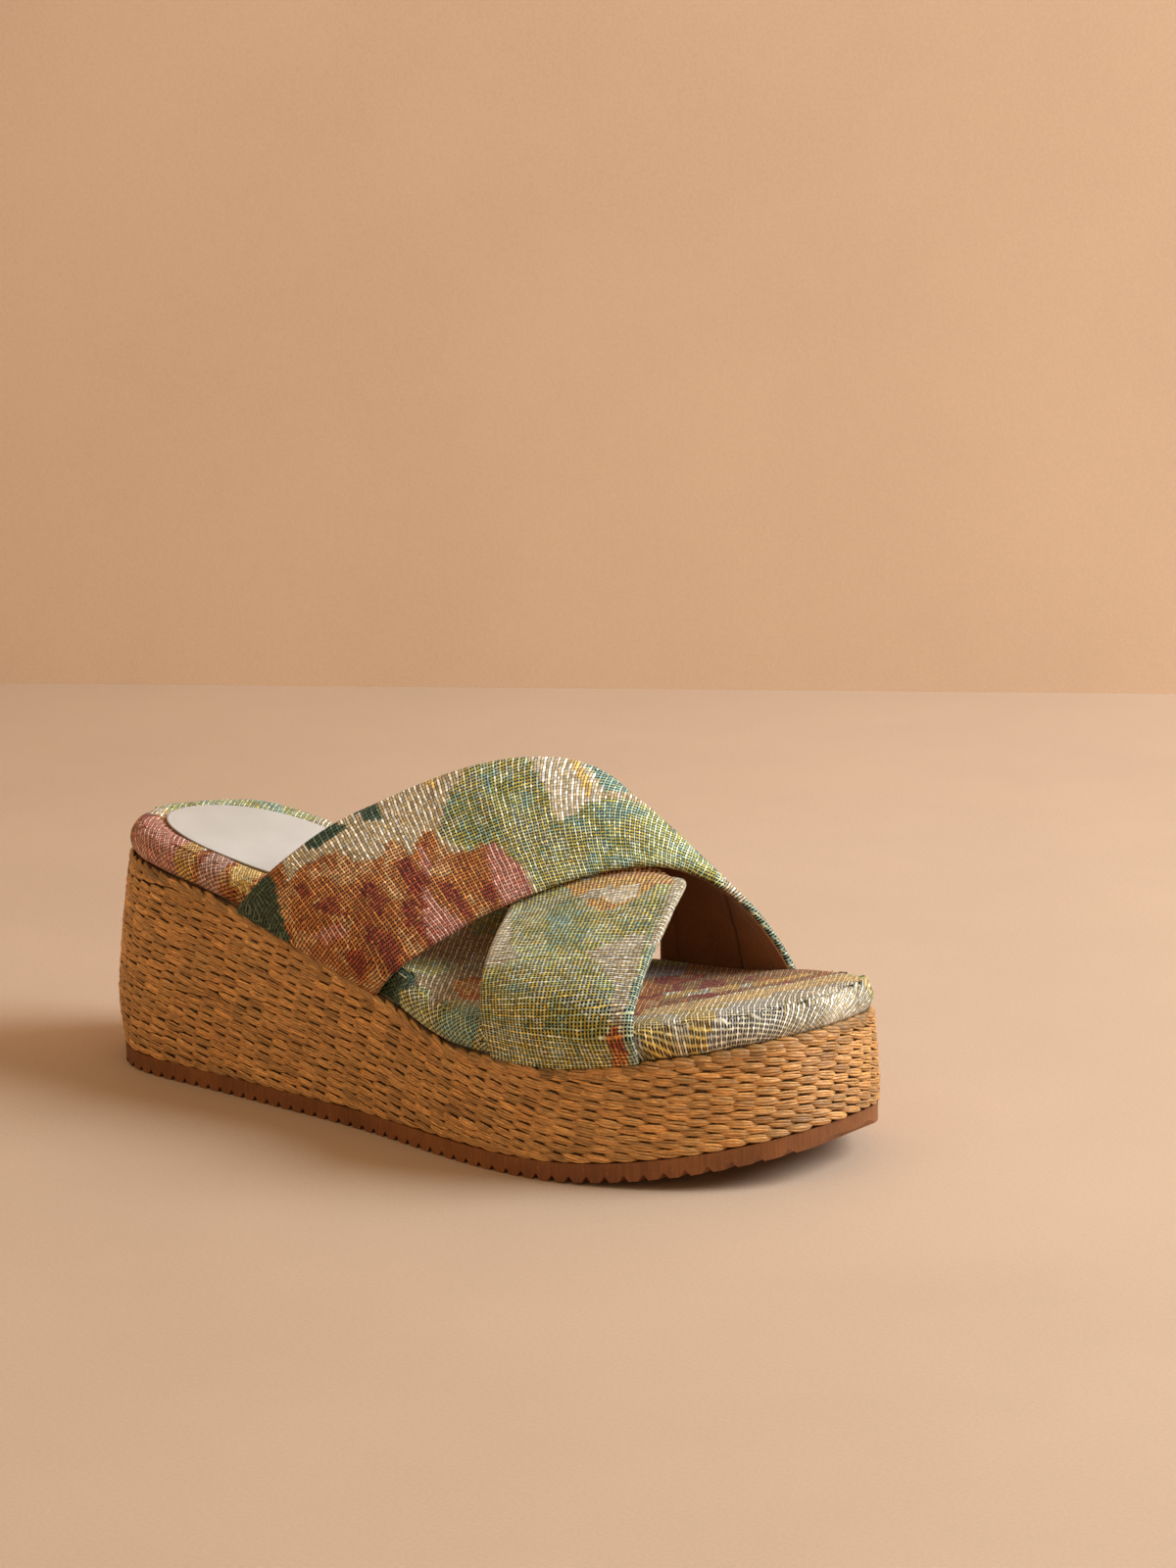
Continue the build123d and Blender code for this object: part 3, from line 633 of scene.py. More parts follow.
# Patches are (u, v): u along the strap from the lateral side, v from its rear to its front edge.
TOP_PATCHES = [
    ("rust", [(0.1, 0.14), (0.141, 0.12), (0.194, 0.17), (0.192, 0.29), (0.22, 0.39), (0.256, 0.3),
              (0.264, 0.34), (0.261, 0.46), (0.302, 0.35), (0.316, 0.38), (0.306, 0.48),
              (0.314, 0.59), (0.368, 0.6), (0.351, 0.72), (0.324, 0.99), (0.31, 1.05),
              (-0.05, 1.05), (-0.05, 0.55), (0.031, 0.38), (0.092, 0.11)]),
    ("forest", [(-0.05, -0.05), (0.101, -0.05), (0.101, 0.03), (0.092, 0.11), (0.031, 0.38),
                (-0.05, 0.6)]),
    ("ochre", [(0.104, -0.05), (0.132, -0.05), (0.12, 0.08), (0.1, 0.16), (0.092, 0.11)]),
    ("forest", [(0.168, -0.05), (0.232, -0.05), (0.228, 0.07), (0.2, 0.09), (0.169, 0.07)]),
    ("forest", [(0.26, -0.05), (0.298, -0.05), (0.285, 0.1), (0.272, 0.14), (0.256, 0.09)]),
    ("pink", [(0.291, 0.38), (0.274, 0.54), (0.255, 0.68), (0.25, 0.6)]),
    ("pink", [(0.238, 0.68), (0.225, 0.82), (0.235, 1.05), (0.155, 1.05), (0.186, 0.86)]),
    ("pink", [(0.365, 0.59), (0.395, 0.59), (0.382, 0.79), (0.362, 1.05), (0.299, 1.05), (0.332, 0.78)]),
    ("ochre", [(0.29, 0.58), (0.32, 0.6), (0.355, 0.64), (0.34, 0.76), (0.306, 0.9), (0.289, 0.81)]),
    ("ochre", [(0.11, 0.52), (0.15, 0.5), (0.19, 0.6), (0.17, 0.74), (0.12, 0.7)]),
    ("pink", [(0.06, 0.5), (0.1, 0.56), (0.09, 0.66), (0.055, 0.6)]),
    ("burgundy", [(0.238, 0.44), (0.254, 0.46), (0.246, 0.57), (0.227, 0.69), (0.212, 0.8),
                  (0.198, 0.82), (0.21, 0.7), (0.226, 0.56)]),
    ("burgundy", [(0.25, 0.75), (0.27, 0.8), (0.26, 0.92), (0.25, 1.0), (0.237, 0.98), (0.244, 0.86)]),
    ("burgundy", [(0.095, 0.36), (0.135, 0.41), (0.119, 0.49), (0.12, 0.57), (0.102, 0.48)]),
    ("burgundy", [(0.109, 0.75), (0.135, 0.8), (0.128, 0.88), (0.112, 0.97), (0.088, 0.96),
                  (0.094, 0.84)]),
    ("burgundy", [(0.062, 0.71), (0.085, 0.78), (0.064, 0.88), (0.03, 0.9), (0.042, 0.8)]),
    ("leaf", [(0.318, 0.42), (0.35, 0.28), (0.385, 0.15), (0.43, 0.03), (0.43, -0.05),
              (0.526, -0.05), (0.515, 0.16), (0.509, 0.39), (0.488, 0.59), (0.434, 0.79),
              (0.376, 1.0), (0.382, 0.84), (0.376, 0.73), (0.376, 0.6), (0.332, 0.6)]),
    ("leafdeep", [(0.36, 0.38), (0.389, 0.49), (0.374, 0.61), (0.329, 0.57), (0.335, 0.46)]),
    ("sage", [(0.44, 0.08), (0.49, 0.1), (0.48, 0.4), (0.45, 0.55), (0.42, 0.4)]),
    ("white", [(0.526, -0.05), (0.611, -0.05), (0.604, 0.28), (0.572, 0.45), (0.519, 0.58),
               (0.481, 0.63), (0.504, 0.39), (0.515, 0.16)]),
    ("yellow", [(0.585, -0.05), (0.6, -0.05), (0.582, 0.26), (0.565, 0.42), (0.555, 0.44),
                (0.568, 0.22)]),
    ("yellow", [(0.364, -0.05), (0.388, -0.05), (0.375, 0.1), (0.364, 0.07)]),
    ("sage", [(0.459, 0.66), (0.511, 0.57), (0.55, 0.48), (0.624, 0.39), (0.70, 0.34),
              (0.74, 0.5), (0.75, 0.8), (0.73, 1.05), (0.374, 1.05), (0.376, 0.98), (0.428, 0.82)]),
    ("leaf", [(0.459, 0.66), (0.50, 0.62), (0.52, 0.78), (0.47, 0.95), (0.4, 1.05), (0.376, 0.98),
              (0.428, 0.82)]),
    ("teal", [(0.56, 0.52), (0.6, 0.48), (0.6, 0.6), (0.57, 0.66), (0.54, 0.62)]),
    ("leaf", [(0.566, 0.66), (0.614, 0.6), (0.60, 0.82), (0.555, 0.86)]),
    ("teal", [(0.609, -0.05), (0.65, -0.05), (0.69, 0.06), (0.676, 0.14), (0.642, 0.26),
              (0.592, 0.36), (0.601, 0.18)]),
    # the medial side, away from the leaf
    ("rust", [(0.70, -0.05), (0.72, 0.1), (0.71, 0.3), (0.75, 0.42), (0.77, 0.6), (0.80, 0.78),
              (0.86, 0.86), (0.94, 0.82), (1.05, 0.86), (1.05, -0.05)]),
    ("forest", [(0.66, -0.05), (0.70, -0.05), (0.715, 0.1), (0.70, 0.2), (0.685, 0.1)]),
    ("pink", [(0.74, 0.02), (0.79, 0.05), (0.82, 0.3), (0.79, 0.34), (0.76, 0.22)]),
    ("burgundy", [(0.80, 0.08), (0.85, 0.12), (0.84, 0.26), (0.86, 0.4), (0.83, 0.42), (0.81, 0.26)]),
    ("mauve", [(0.83, 0.45), (0.88, 0.5), (0.87, 0.7), (0.83, 0.66)]),
    ("burgundy", [(0.88, 0.2), (0.91, 0.24), (0.90, 0.48), (0.87, 0.44)]),
    ("ochre", [(0.76, 0.48), (0.8, 0.5), (0.82, 0.68), (0.79, 0.66)]),
    ("burgundy", [(0.90, 0.58), (0.93, 0.55), (0.93, 0.74), (0.90, 0.76)]),
    ("gold", [(0.93, 0.02), (1.05, 0.02), (1.05, 0.5), (0.96, 0.46), (0.92, 0.3)]),
    ("ivory", [(0.965, 0.4), (1.05, 0.36), (1.05, 1.05), (0.955, 1.05), (0.95, 0.7)]),
    ("ivory", [(0.72, 0.9), (0.735, 0.86), (0.78, 0.84), (0.79, 1.05), (0.715, 1.05)]),
    ("tealedge", [(0.775, 0.93), (0.80, 0.88), (0.86, 0.9), (1.0, 0.88), (1.05, 0.9), (1.05, 1.05),
                  (0.765, 1.05)]),
]
UNDER_PATCHES = [
    ("ivory", [(0.48, -0.05), (0.458, 0.02), (0.358, 0.04), (0.261, 0.13), (0.221, 0.21),
               (0.185, 0.1), (0.185, -0.05)]),
    ("leaf", [(0.191, -0.05), (0.195, 0.2), (0.225, 0.41), (0.244, 0.68), (0.216, 0.85),
              (0.094, 0.92), (-0.05, 0.86), (-0.05, -0.05)]),
    ("sage", [(0.15, 0.04), (0.17, 0.3), (0.14, 0.4), (0.12, 0.2)]),
    ("leafdeep", [(0.09, 0.45), (0.14, 0.5), (0.13, 0.7), (0.08, 0.66)]),
    ("leaf", [(0.44, -0.05), (0.5, 0.1), (0.509, 0.24), (0.476, 0.31), (0.445, 0.44), (0.389, 0.53),
              (0.40, 0.66), (0.46, 0.8), (0.554, 0.9), (0.535, 1.0), (0.412, 0.96), (0.339, 0.9),
              (0.288, 0.84), (0.241, 0.65), (0.215, 0.41), (0.221, 0.21), (0.279, 0.11),
              (0.36, 0.06)]),
    ("leafdeep", [(0.395, 0.27), (0.405, 0.46), (0.33, 0.58), (0.27, 0.56), (0.25, 0.39), (0.32, 0.28)]),
    ("teal", [(0.36, 0.3), (0.385, 0.42), (0.34, 0.46), (0.31, 0.36)]),
    ("gold", [(0.516, 0.23), (0.7, 0.2), (0.7, 1.05), (0.549, 1.05), (0.536, 0.88), (0.441, 0.76),
              (0.40, 0.62), (0.412, 0.52), (0.445, 0.44), (0.488, 0.31)]),
    ("rustgold", [(0.614, 0.42), (0.7, 0.5), (0.68, 0.82), (0.58, 0.8), (0.534, 0.64), (0.534, 0.5)]),
    ("white", [(0.465, 0.56), (0.50, 0.66), (0.52, 0.78), (0.46, 0.78), (0.426, 0.66)]),
    ("ivory", [(0.262, 0.62), (0.285, 0.7), (0.328, 0.83), (0.345, 0.93), (0.226, 0.98), (0.135, 1.0),
               (0.03, 0.94), (0.094, 0.9), (0.194, 0.86), (0.225, 0.76)]),
    ("ivory", [(0.64, 0.93), (0.55, 0.95), (0.376, 0.97), (0.2, 0.985), (0.2, 1.08), (0.64, 1.08)]),
    ("rust", [(0.101, 0.86), (0.115, 0.94), (0.06, 0.97), (-0.05, 0.95), (-0.05, 0.84), (0.05, 0.87)]),
    ("tealedge", [(0.32, 0.985), (0.32, 1.08), (-0.05, 1.08), (-0.05, 0.965), (0.12, 0.97)]),
    # the medial part, beyond the crossing
    ("rust", [(0.64, -0.05), (0.66, 0.2), (0.7, 0.4), (0.78, 0.5), (0.84, 0.3), (0.86, -0.05)]),
    ("burgundy", [(0.70, 0.02), (0.74, 0.04), (0.735, 0.3), (0.70, 0.26)]),
    ("ochre", [(0.70, 0.5), (0.8, 0.52), (0.83, 0.8), (0.74, 0.9), (0.69, 0.8)]),
    ("leaf", [(0.84, -0.05), (0.83, 0.3), (0.79, 0.52), (0.83, 0.78), (0.92, 0.7), (0.97, 0.4),
              (0.98, -0.05)]),
    ("leafdeep", [(0.87, 0.1), (0.92, 0.1), (0.91, 0.5), (0.86, 0.5)]),
    ("cream", [(0.98, -0.05), (0.95, 0.5), (0.90, 0.8), (0.82, 1.05), (1.05, 1.05), (1.05, -0.05)]),
]
# Footbed patches are in plan, millimetres.
BED_PATCHES = [
    ("grey", [(-40, -60), (48, -60), (48, 0), (20, 12), (-20, 20), (-40, 0)]),
    ("rust", [(-135, -60), (-48, -60), (-50, -22), (-70, -16), (-96, -12), (-135, -14)]),
    ("pink", [(-106, -14), (-98, -20), (-84, -22), (-78, -60), (-100, -60), (-122, -26)]),
    ("mauve", [(-74, -22), (-66, -24), (-66, -60), (-76, -60)]),
    ("gold", [(-84, -20), (-77, -22), (-77, -60), (-84, -60)]),
    ("yellow", [(-66, -24), (-56, -22), (-54, -36), (-60, -36)]),
    ("ochre", [(-135, -14), (-112, -12), (-108, -24), (-120, -50), (-135, -50)]),
    ("sage", [(-135, -6), (-110, -6), (-104, 8), (-70, 14), (-30, 12), (-30, 60), (-135, 60)]),
    ("teal", [(-120, 18), (-96, 20), (-84, 60), (-110, 60)]),
    ("ivory", [(-78, 14), (-50, 14), (-46, 60), (-74, 60)]),
    ("leaf", [(-46, 10), (-22, 8), (-14, 60), (-44, 60)]),
    ("white", [(-98, -12), (-40, -14), (-40, 12), (-98, 10)]),
    ("leafdeep", [(-9, 24), (-7, 6), (0, 2), (4, 10), (0, 22)]),
    ("forest", [(-14, -60), (-12, -34), (0, -31), (8, -34), (14, -40), (16, -60)]),
    ("forest", [(18, -60), (20, -44), (30, -40), (40, -42), (46, -60)]),
    ("leaf", [(0, -32), (5, -19), (12, -18), (12, -31), (6, -36)]),
    ("leaf", [(6, -60), (8, -42), (15, -36), (22, -44), (24, -36), (35, -33), (48, -36), (48, -60)]),
    ("teal", [(24, -48), (28, -38), (36, -36), (40, -46), (34, -56)]),
    ("rust", [(16, -28), (17, -18), (26, -18), (30, -28), (25, -34)]),
    ("brown", [(48, 60), (44, 30), (40, 12), (42, -14), (56, -26), (70, -14), (80, 0), (90, 16),
               (102, 30), (112, 40), (100, 60)]),
    ("stone", [(38, 24), (46, 40), (56, 26), (48, 14)]),
    ("gold", [(60, 2), (66, 10), (80, 22), (92, 34), (96, 32), (84, 16), (72, 4), (64, -4)]),
    ("leafdeep", [(26, 42), (48, 52), (50, 34), (42, 24)]),
    ("rust", [(46, 8), (58, 17), (70, -4), (78, -22), (62, -22)]),
    ("sand", [(72, -12), (80, -2), (90, 12), (102, 27), (114, 34), (128, 20), (116, 6), (100, 4),
              (90, -4), (84, -16), (76, -22)]),
    ("straw", [(62, -12), (72, -22), (84, -16), (92, -4), (102, -6), (104, -20), (116, -44),
               (80, -70), (50, -70), (54, -26)]),
    ("rust", [(48, -26), (60, -24), (70, -60), (44, -70)]),
    ("net", [(96, -12), (96, -4), (104, 2), (112, -6), (124, -18), (124, -50), (112, -44), (102, -22)]),
    ("ivory", [(98, 8), (104, 2), (112, -6), (124, -18), (160, -20), (160, 26), (126, 24), (112, 16)]),
    ("white", [(110, 6), (118, 2), (150, -6), (150, 8), (122, 14)]),
    ("sage", [(104, 34), (116, 26), (128, 22), (160, 24), (160, 60), (104, 60)]),
]


def stepped(points, cloth, du, dv):
    """Points moved to the middle of the weave cell they lie in, so patch edges follow the threads."""
    row = np.floor(cloth[:, 0] / ROW)
    col = np.floor(cloth[:, 1] / WEFT)
    dx = (row + 0.5) * ROW - cloth[:, 0]
    dy = (col + 0.5) * WEFT - cloth[:, 1]
    return points + np.stack([dx * du, dy * dv], -1), np.stack([row, col], -1)


# ------------------------------------------------------------------ straps
class Strap:
    """Reference surface of a strap and everything measured on it."""

    def __init__(self, rear, front, crown, count=1400):
        self.a = walk(rear, count)
        self.b = walk(front, count)
        self.count = count
        gap = count // 24
        i = np.arange(count + 1)
        lo, hi = np.maximum(i - gap, 0), np.minimum(i + gap, count)
        ra = self.a[hi] - self.a[lo]
        rb = self.b[hi] - self.b[lo]
        ra /= np.linalg.norm(ra, axis=1)[:, None]
        rb /= np.linalg.norm(rb, axis=1)[:, None]
        self.run = ra + rb
        self.run /= np.linalg.norm(self.run, axis=1)[:, None]
        self.across = self.b - self.a
        self.width = np.linalg.norm(self.across, axis=1)
        self.across /= self.width[:, None]
        self.normal = np.cross(self.across, self.run)
        self.normal /= np.linalg.norm(self.normal, axis=1)[:, None]
        u = i / count
        w = np.where(u < 0.5, 1 - 2 * u, 2 * u - 1) ** 2
        end = np.where(u < 0.5, crown[0], crown[2])
        self.crown = end * w + crown[1] * (1 - w)
        self.u = u
        mid = (self.a + self.b) / 2
        self.mid = mid
        step = np.linalg.norm(np.diff(mid, axis=0), axis=1)
        self.s = np.concatenate([[0], np.cumsum(step)])
        t = np.gradient(mid, axis=0)
        self.t = t / np.linalg.norm(t, axis=1)[:, None]
        self.a[:, :2] += PLACE
        self.b[:, :2] += PLACE
        self.mid = (self.a + self.b) / 2

    def point(self, i, d, off):
        """Point at station i (float), d mm from the rear edge, off above the face."""
        i = np.clip(i, 0, self.count)
        j = np.minimum(np.floor(i).astype(int), self.count - 1)
        f = (i - j)[..., None]

        def mixed(arr):
            if arr.ndim == 1:
                return arr[j] * (1 - f[..., 0]) + arr[j + 1] * f[..., 0]
            return arr[j] * (1 - f) + arr[j + 1] * f

        width = mixed(self.width)
        s = np.clip(d / width, 0, 1)
        n = mixed(self.normal)
        return (mixed(self.a) + mixed(self.across) * d[..., None]
                + n * (off + mixed(self.crown) * 4 * s * (1 - s))[..., None])

    def cloth(self, i, P):
        """Cloth coordinates: run along the strap and distance across it, in mm."""
        j = np.clip(np.round(i).astype(int), 0, self.count)
        r = P - self.mid[j]
        along = (r * self.t[j]).sum(-1)
        n = self.across[j] - self.t[j] * (self.across[j] * self.t[j]).sum(-1)[..., None]
        n /= np.linalg.norm(n, axis=-1)[..., None]
        return np.stack([self.s[j] + along, (r * n).sum(-1), np.zeros(along.shape)], -1)


def strap_layer(strap, loop, nu, floor):
    """Sweeps a closed section loop along the strap, cut level with the wedge's top.
    loop is a list of (kind, d, off, face): kind 'r' counts d from the rear edge in mm,
    'f' from the front edge, 'm' is a share of the width."""
    kinds = np.array([k for k, _, _, _ in loop])
    ds = np.array([d for _, d, _, _ in loop], float)
    offs = np.array([o for _, _, o, _ in loop], float)
    n = len(loop)
    i0, i1 = np.zeros(n), np.full(n, float(strap.count))
    scan = np.arange(0, strap.count + 1, 4.0)
    wd = np.interp(scan, np.arange(strap.count + 1), strap.width)
    for k in range(n):
        d = {"r": ds[k] + 0 * wd, "f": wd - ds[k], "m": ds[k] * wd}[kinds[k]]
        P = strap.point(scan, d, np.full(len(scan), offs[k]))
        above = np.nonzero(P[:, 2] > top_z(P[:, 0]) + floor)[0]
        gapv = P[:, 2] - (top_z(P[:, 0]) + floor)
        lo, hi = above[0], above[-1]
        i0[k] = scan[lo] if lo == 0 else scan[lo - 1] + 4.0 * (-gapv[lo - 1]) / (gapv[lo] - gapv[lo - 1])
        i1[k] = scan[hi] if hi == len(scan) - 1 else scan[hi] + 4.0 * gapv[hi] / (gapv[hi] - gapv[hi + 1])
    t = np.linspace(0, 1, nu)[:, None]
    I = i0[None] * (1 - t) + i1[None] * t
    W = np.interp(I, np.arange(strap.count + 1), strap.width)
    D = np.where(kinds == "r", ds, np.where(kinds == "f", W - ds, ds * W))
    return I, D, W, np.broadcast_to(offs, I.shape).copy()


def closed_sweep(P):
    """Faces of a swept closed loop with flat ends."""
    nu, n = P.shape[:2]
    f = [tuple(q) for q in grid_faces(nu, n, wrap_v=True)]
    f.append(tuple(range(n)))
    f.append(tuple(reversed(range((nu - 1) * n, nu * n))))
    return P.reshape(-1, 3), f


def tail_slab(x0, x1, side, lowz, highz, first=0.7, reach=14.0):
    """Strap end turned in flat under the insole board."""
    s = np.linspace(0, EDGE_LONG, 6000, endpoint=False)
    p, nrm = edge_at(s)
    ok = (p[:, 0] > x0 + 1.0) & (p[:, 0] < x1 - 1.0) & (p[:, 1] * side > 0)
    s = s[ok]
    order = np.argsort(edge_at(s)[0][:, 0])
    s = s[order][:: max(1, len(s) // 70)]
    p, nrm = edge_at(s)
    ins = np.linspace(first, reach, 14)
    q = p[:, None] - nrm[:, None] * (lean(p[:, 0])[:, None] + ins[None])[..., None]
    z = top_z(q[..., 0])
    top = np.concatenate([q, (z + highz)[..., None]], -1)
    bot = np.concatenate([q, (z + lowz)[..., None]], -1)
    nu, nv = q.shape[:2]
    verts = np.concatenate([top.reshape(-1, 3), bot.reshape(-1, 3)])
    f = [tuple(v) for v in grid_faces(nu, nv)] + [tuple(v) for v in grid_faces(nu, nv, base=nu * nv, flip=True)]
    m = nu * nv
    for i in range(nu - 1):
        f.append((i * nv, i * nv + m, (i + 1) * nv + m, (i + 1) * nv))
        f.append((i * nv + nv - 1, (i + 1) * nv + nv - 1, (i + 1) * nv + nv - 1 + m, i * nv + nv - 1 + m))
    for j in range(nv - 1):
        f.append((j, j + 1, j + 1 + m, j + m))
        k = (nu - 1) * nv
        f.append((k + j, k + j + m, k + j + 1 + m, k + j + 1))
    return verts, f


def edge_arc(kind, n=9):
    """Rounded fold of the fabric round the strap's edge, from under to over."""
    out = []
    for a in np.linspace(-90, 90, n):
        r = math.radians(a)
        d = 0.80 - 1.28 * math.cos(r)
        off = -1.215 + 1.215 * math.sin(r)
        out.append((kind, d, off, 1))
    return out


def fabric_loop(face):
    loop = [("r", 5.0, -2.03, 0), ("r", 5.0, -2.43, 1), ("r", 3.0, -2.43, 1), ("r", 1.6, -2.43, 1)]
    loop += edge_arc("r")
    loop += [("r", 1.3, 0.0, 1)]
    loop += [("m", s, 0.0, 1) for s in np.linspace(0.045, 0.955, face)]
    loop += [("f", 1.3, 0.0, 1)]
    loop += edge_arc("f")[::-1]
    loop += [("f", 1.6, -2.43, 1), ("f", 3.0, -2.43, 1), ("f", 5.0, -2.43, 1), ("f", 5.0, -2.03, 0),
             ("f", 0.9, -2.03, 0), ("f", 0.35, -1.5, 0), ("f", 0.9, -1.0, 0)]
    loop += [("m", s, -1.0, 0) for s in np.linspace(0.9, 0.1, 9)]
    loop += [("r", 0.9, -1.0, 0), ("r", 0.35, -1.5, 0), ("r", 0.9, -2.03, 0)]
    return loop


def build_strap(tag, strap, patches, ends, seed, base, press=None):
    # fabric
    face = 130
    loop = fabric_loop(face)
    nu = 620
    I, D, W, O = strap_layer(strap, loop, nu, 0.08)
    showing = np.array([f for _, _, _, f in loop], float)
    P = strap.point(I, D, O)
    C = strap.cloth(I.ravel(), P.reshape(-1, 3)).reshape(P.shape)
    # the cloth goes on round the folded edges
    for k, (kind, d, off, f) in enumerate(loop):
        if f and kind in "rf" and d < 1.2:
            C[:, k, 1] += (-1 if kind == "r" else 1) * (0.0 - off) * 0.9
        elif f and off < -2.0:
            C[:, k, 1] = (C[:, k, 1] + (-1 if kind == "r" else 1) * (2.6 + 2 * max(d, 0)))
    # relief of the heavy threads, soft waves and the pull of the folded edge
    ph = C[..., 0] / ROW
    tri = 1 - np.abs(2 * (ph - np.floor(ph)) - 1)
    relief = 0.055 * (np.clip((tri - 0.2) / 0.5, 0, 1) - 0.6)
    relief += 0.030 * np.cos(2 * np.pi * C[..., 1] / WEFT)
    wave = 0.16 * value_noise(C[..., :2] / 9.0, seed + 5) + 0.10 * value_noise(C[..., :2] / 4.0, seed + 6)
    s = np.clip(D / W, 0, 1)
    ridge = -0.16 * np.exp(-((np.minimum(D, W - D) - 4.2) / 1.0) ** 2)
    lift = np.clip(np.minimum(D, W - D) / 3.0, 0, 1)
    outer = (O > -0.6) * showing
    push = (relief + (wave + ridge) * lift) * outer + relief * 0.6 * (showing * (O <= -0.6) * (O > -2.4))
    n = np.gradient(P, axis=0)
    m = np.gradient(P, axis=1)
    nrm = np.cross(m, n)
    nrm /= np.maximum(np.linalg.norm(nrm, axis=-1), 1e-9)[..., None]
    ref = np.sign((nrm * strap.normal[np.clip(np.round(I).astype(int), 0, strap.count)]).sum(-1))
    mid = np.abs(O) < 1e-6
    good = nrm * (np.median(ref[mid]))
    P = P + good * push[..., None]
    if press is not None:
        # where the other strap lies on this one, the cloth swells up to it
        from mathutils.kdtree import KDTree
        i = np.arange(0, press.count + 1, 4.0)
        W2 = np.interp(i, np.arange(press.count + 1), press.width)
        Q = np.concatenate([press.point(i, sh * W2, np.full(len(i), -3.30))
                            for sh in np.linspace(0.05, 0.95, 80)])
        tree = KDTree(len(Q))
        for k, v in enumerate(Q):
            tree.insert(v, k)
        tree.balance()
        u_ = I / strap.count
        swell = np.zeros(P.shape[:2])
        for a_, b_ in zip(*np.nonzero((outer > 0.5) & (u_ > 0.3) & (u_ < 0.95))):
            co, k, dist = tree.find(P[a_, b_])
            if 0.15 < dist < 2.8:
                away = (np.array(co) - P[a_, b_]) / dist
                facing = float(np.dot(away, good[a_, b_]))
                swell[a_, b_] = min(dist * facing - 0.12, 2.2) * np.clip((facing - 0.7) / 0.2, 0, 1)
        for _ in range(30):
            around = 0.25 * (swell[:-2, 1:-1] + swell[2:, 1:-1] + swell[1:-1, :-2] + swell[1:-1, 2:])
            swell[1:-1, 1:-1] = np.minimum(swell[1:-1, 1:-1], around + 0.02)
        for _ in range(6):
            swell[1:-1, 1:-1] = 0.2 * (swell[1:-1, 1:-1] + swell[:-2, 1:-1] + swell[2:, 1:-1]
                                       + swell[1:-1, :-2] + swell[1:-1, 2:])
        P = P + good * np.maximum(swell, 0)[..., None]
    uv = np.stack([I / strap.count, D / W], -1).reshape(-1, 2)
    cl = C.reshape(-1, 3)
    pts, cells = stepped(uv, cl, 1.0 / strap.s[-1], 1.0 / float(np.mean(W)))
    light, weft, dark = paint(pts, cells, base, patches, seed)
    verts, faces = closed_sweep(P)
    area = 0.0
    k0 = next(k for k, l in enumerate(loop) if l[0] == "r" and l[1] < 1.2 and l[2] > -2.0)
    for (x0, x1, side) in ends:
        v, f = tail_slab(x0, x1, side, 0.06, 0.82)
        faces = faces + [tuple(np.array(q) + len(verts)) for q in f]
        verts = np.concatenate([verts, v])
        cl = np.concatenate([cl, v * [1, 1, 0]])
        light = np.concatenate([light, np.repeat(light[:1], len(v), 0)])
        weft = np.concatenate([weft, np.repeat(weft[:1], len(v), 0)])
        dark = np.concatenate([dark, np.repeat(dark[:1], len(v), 0)])
    fab = make_mesh(tag + "_fabric_woven", verts, faces, True,
                    {"thread": light, "weft": weft, "ground": dark}, {"cloth": cl})
    face_out(fab)
    wear(fab, MAT_STRAP)
    # padding between the fabric and the lining
    loop = [("r", 1.15, -1.95, 0), ("r", 0.95, -1.5, 0), ("r", 1.15, -1.08, 0)]
    loop += [("m", s_, -1.06, 0) for s_ in np.linspace(0.08, 0.92, 12)]
    loop += [("f", 1.15, -1.08, 0), ("f", 0.95, -1.5, 0), ("f", 1.15, -1.95, 0)]
    loop += [("m", s_, -1.97, 0) for s_ in np.linspace(0.92, 0.08, 12)]
    I, D, W, O = strap_layer(strap, loop, 120, 0.9)
    P = strap.point(I, D, O)
    verts, faces = closed_sweep(P)
    pad = make_mesh(tag + "_padding_soft", verts, faces)
    face_out(pad)
    wear(pad, MAT_FOAM)
    # lining, with its cut edge just inside the fold and a closed seam
    loop = [("r", 1.15, -2.46, 0), ("r", 0.75, -2.6, 0), ("r", 0.62, -2.8, 1), ("r", 0.78, -3.02, 1),
            ("r", 1.2, -3.12, 1), ("r", 1.9, -3.15, 1)]
    inner = [("m", s_, -3.13, 1) for s_ in np.linspace(0.06, 0.94, 90)]
    loop += inner
    loop += [("f", 1.9, -3.15, 1), ("f", 1.2, -3.12, 1), ("f", 0.78, -3.02, 1), ("f", 0.62, -2.8, 1),
             ("f", 0.75, -2.6, 0), ("f", 1.15, -2.46, 0)]
    loop += [("m", s_, -2.46, 0) for s_ in np.linspace(0.94, 0.06, 14)]
    nul = 260
    I, D, W, O = strap_layer(strap, loop, nul, 0.9)
    inside_face = (O < -3.1)
    u = I / strap.count
    if tag == "top_strap":
        want = np.interp(u, [0.69, 0.71, 0.76, 0.80, 0.845, 0.913, 0.99],
                         [1.0, 0.94, 0.82, 0.73, 0.65, 0.605, 0.58])
        on = np.clip((u - 0.68) / 0.02, 0, 1)
    else:
        want = 0.5 + 0.0 * u
        on = np.clip((0.14 - u) / 0.02, 0, 1) * 0.6
    dist = (D / W - want) * W
    seam = -0.42 * np.exp(-(dist / 0.5) ** 2) + 0.24 * np.exp(-((np.abs(dist) - 1.1) / 0.6) ** 2)
    near_edge = np.minimum(D, W - D)
    fold = 0.22 * np.exp(-((near_edge - 5.2) / 0.7) ** 2) - 0.12 * np.exp(-((near_edge - 6.6) / 0.6) ** 2)
    cl = strap.cloth(I.ravel(), strap.point(I, D, O).reshape(-1, 3)).reshape(I.shape + (3,))
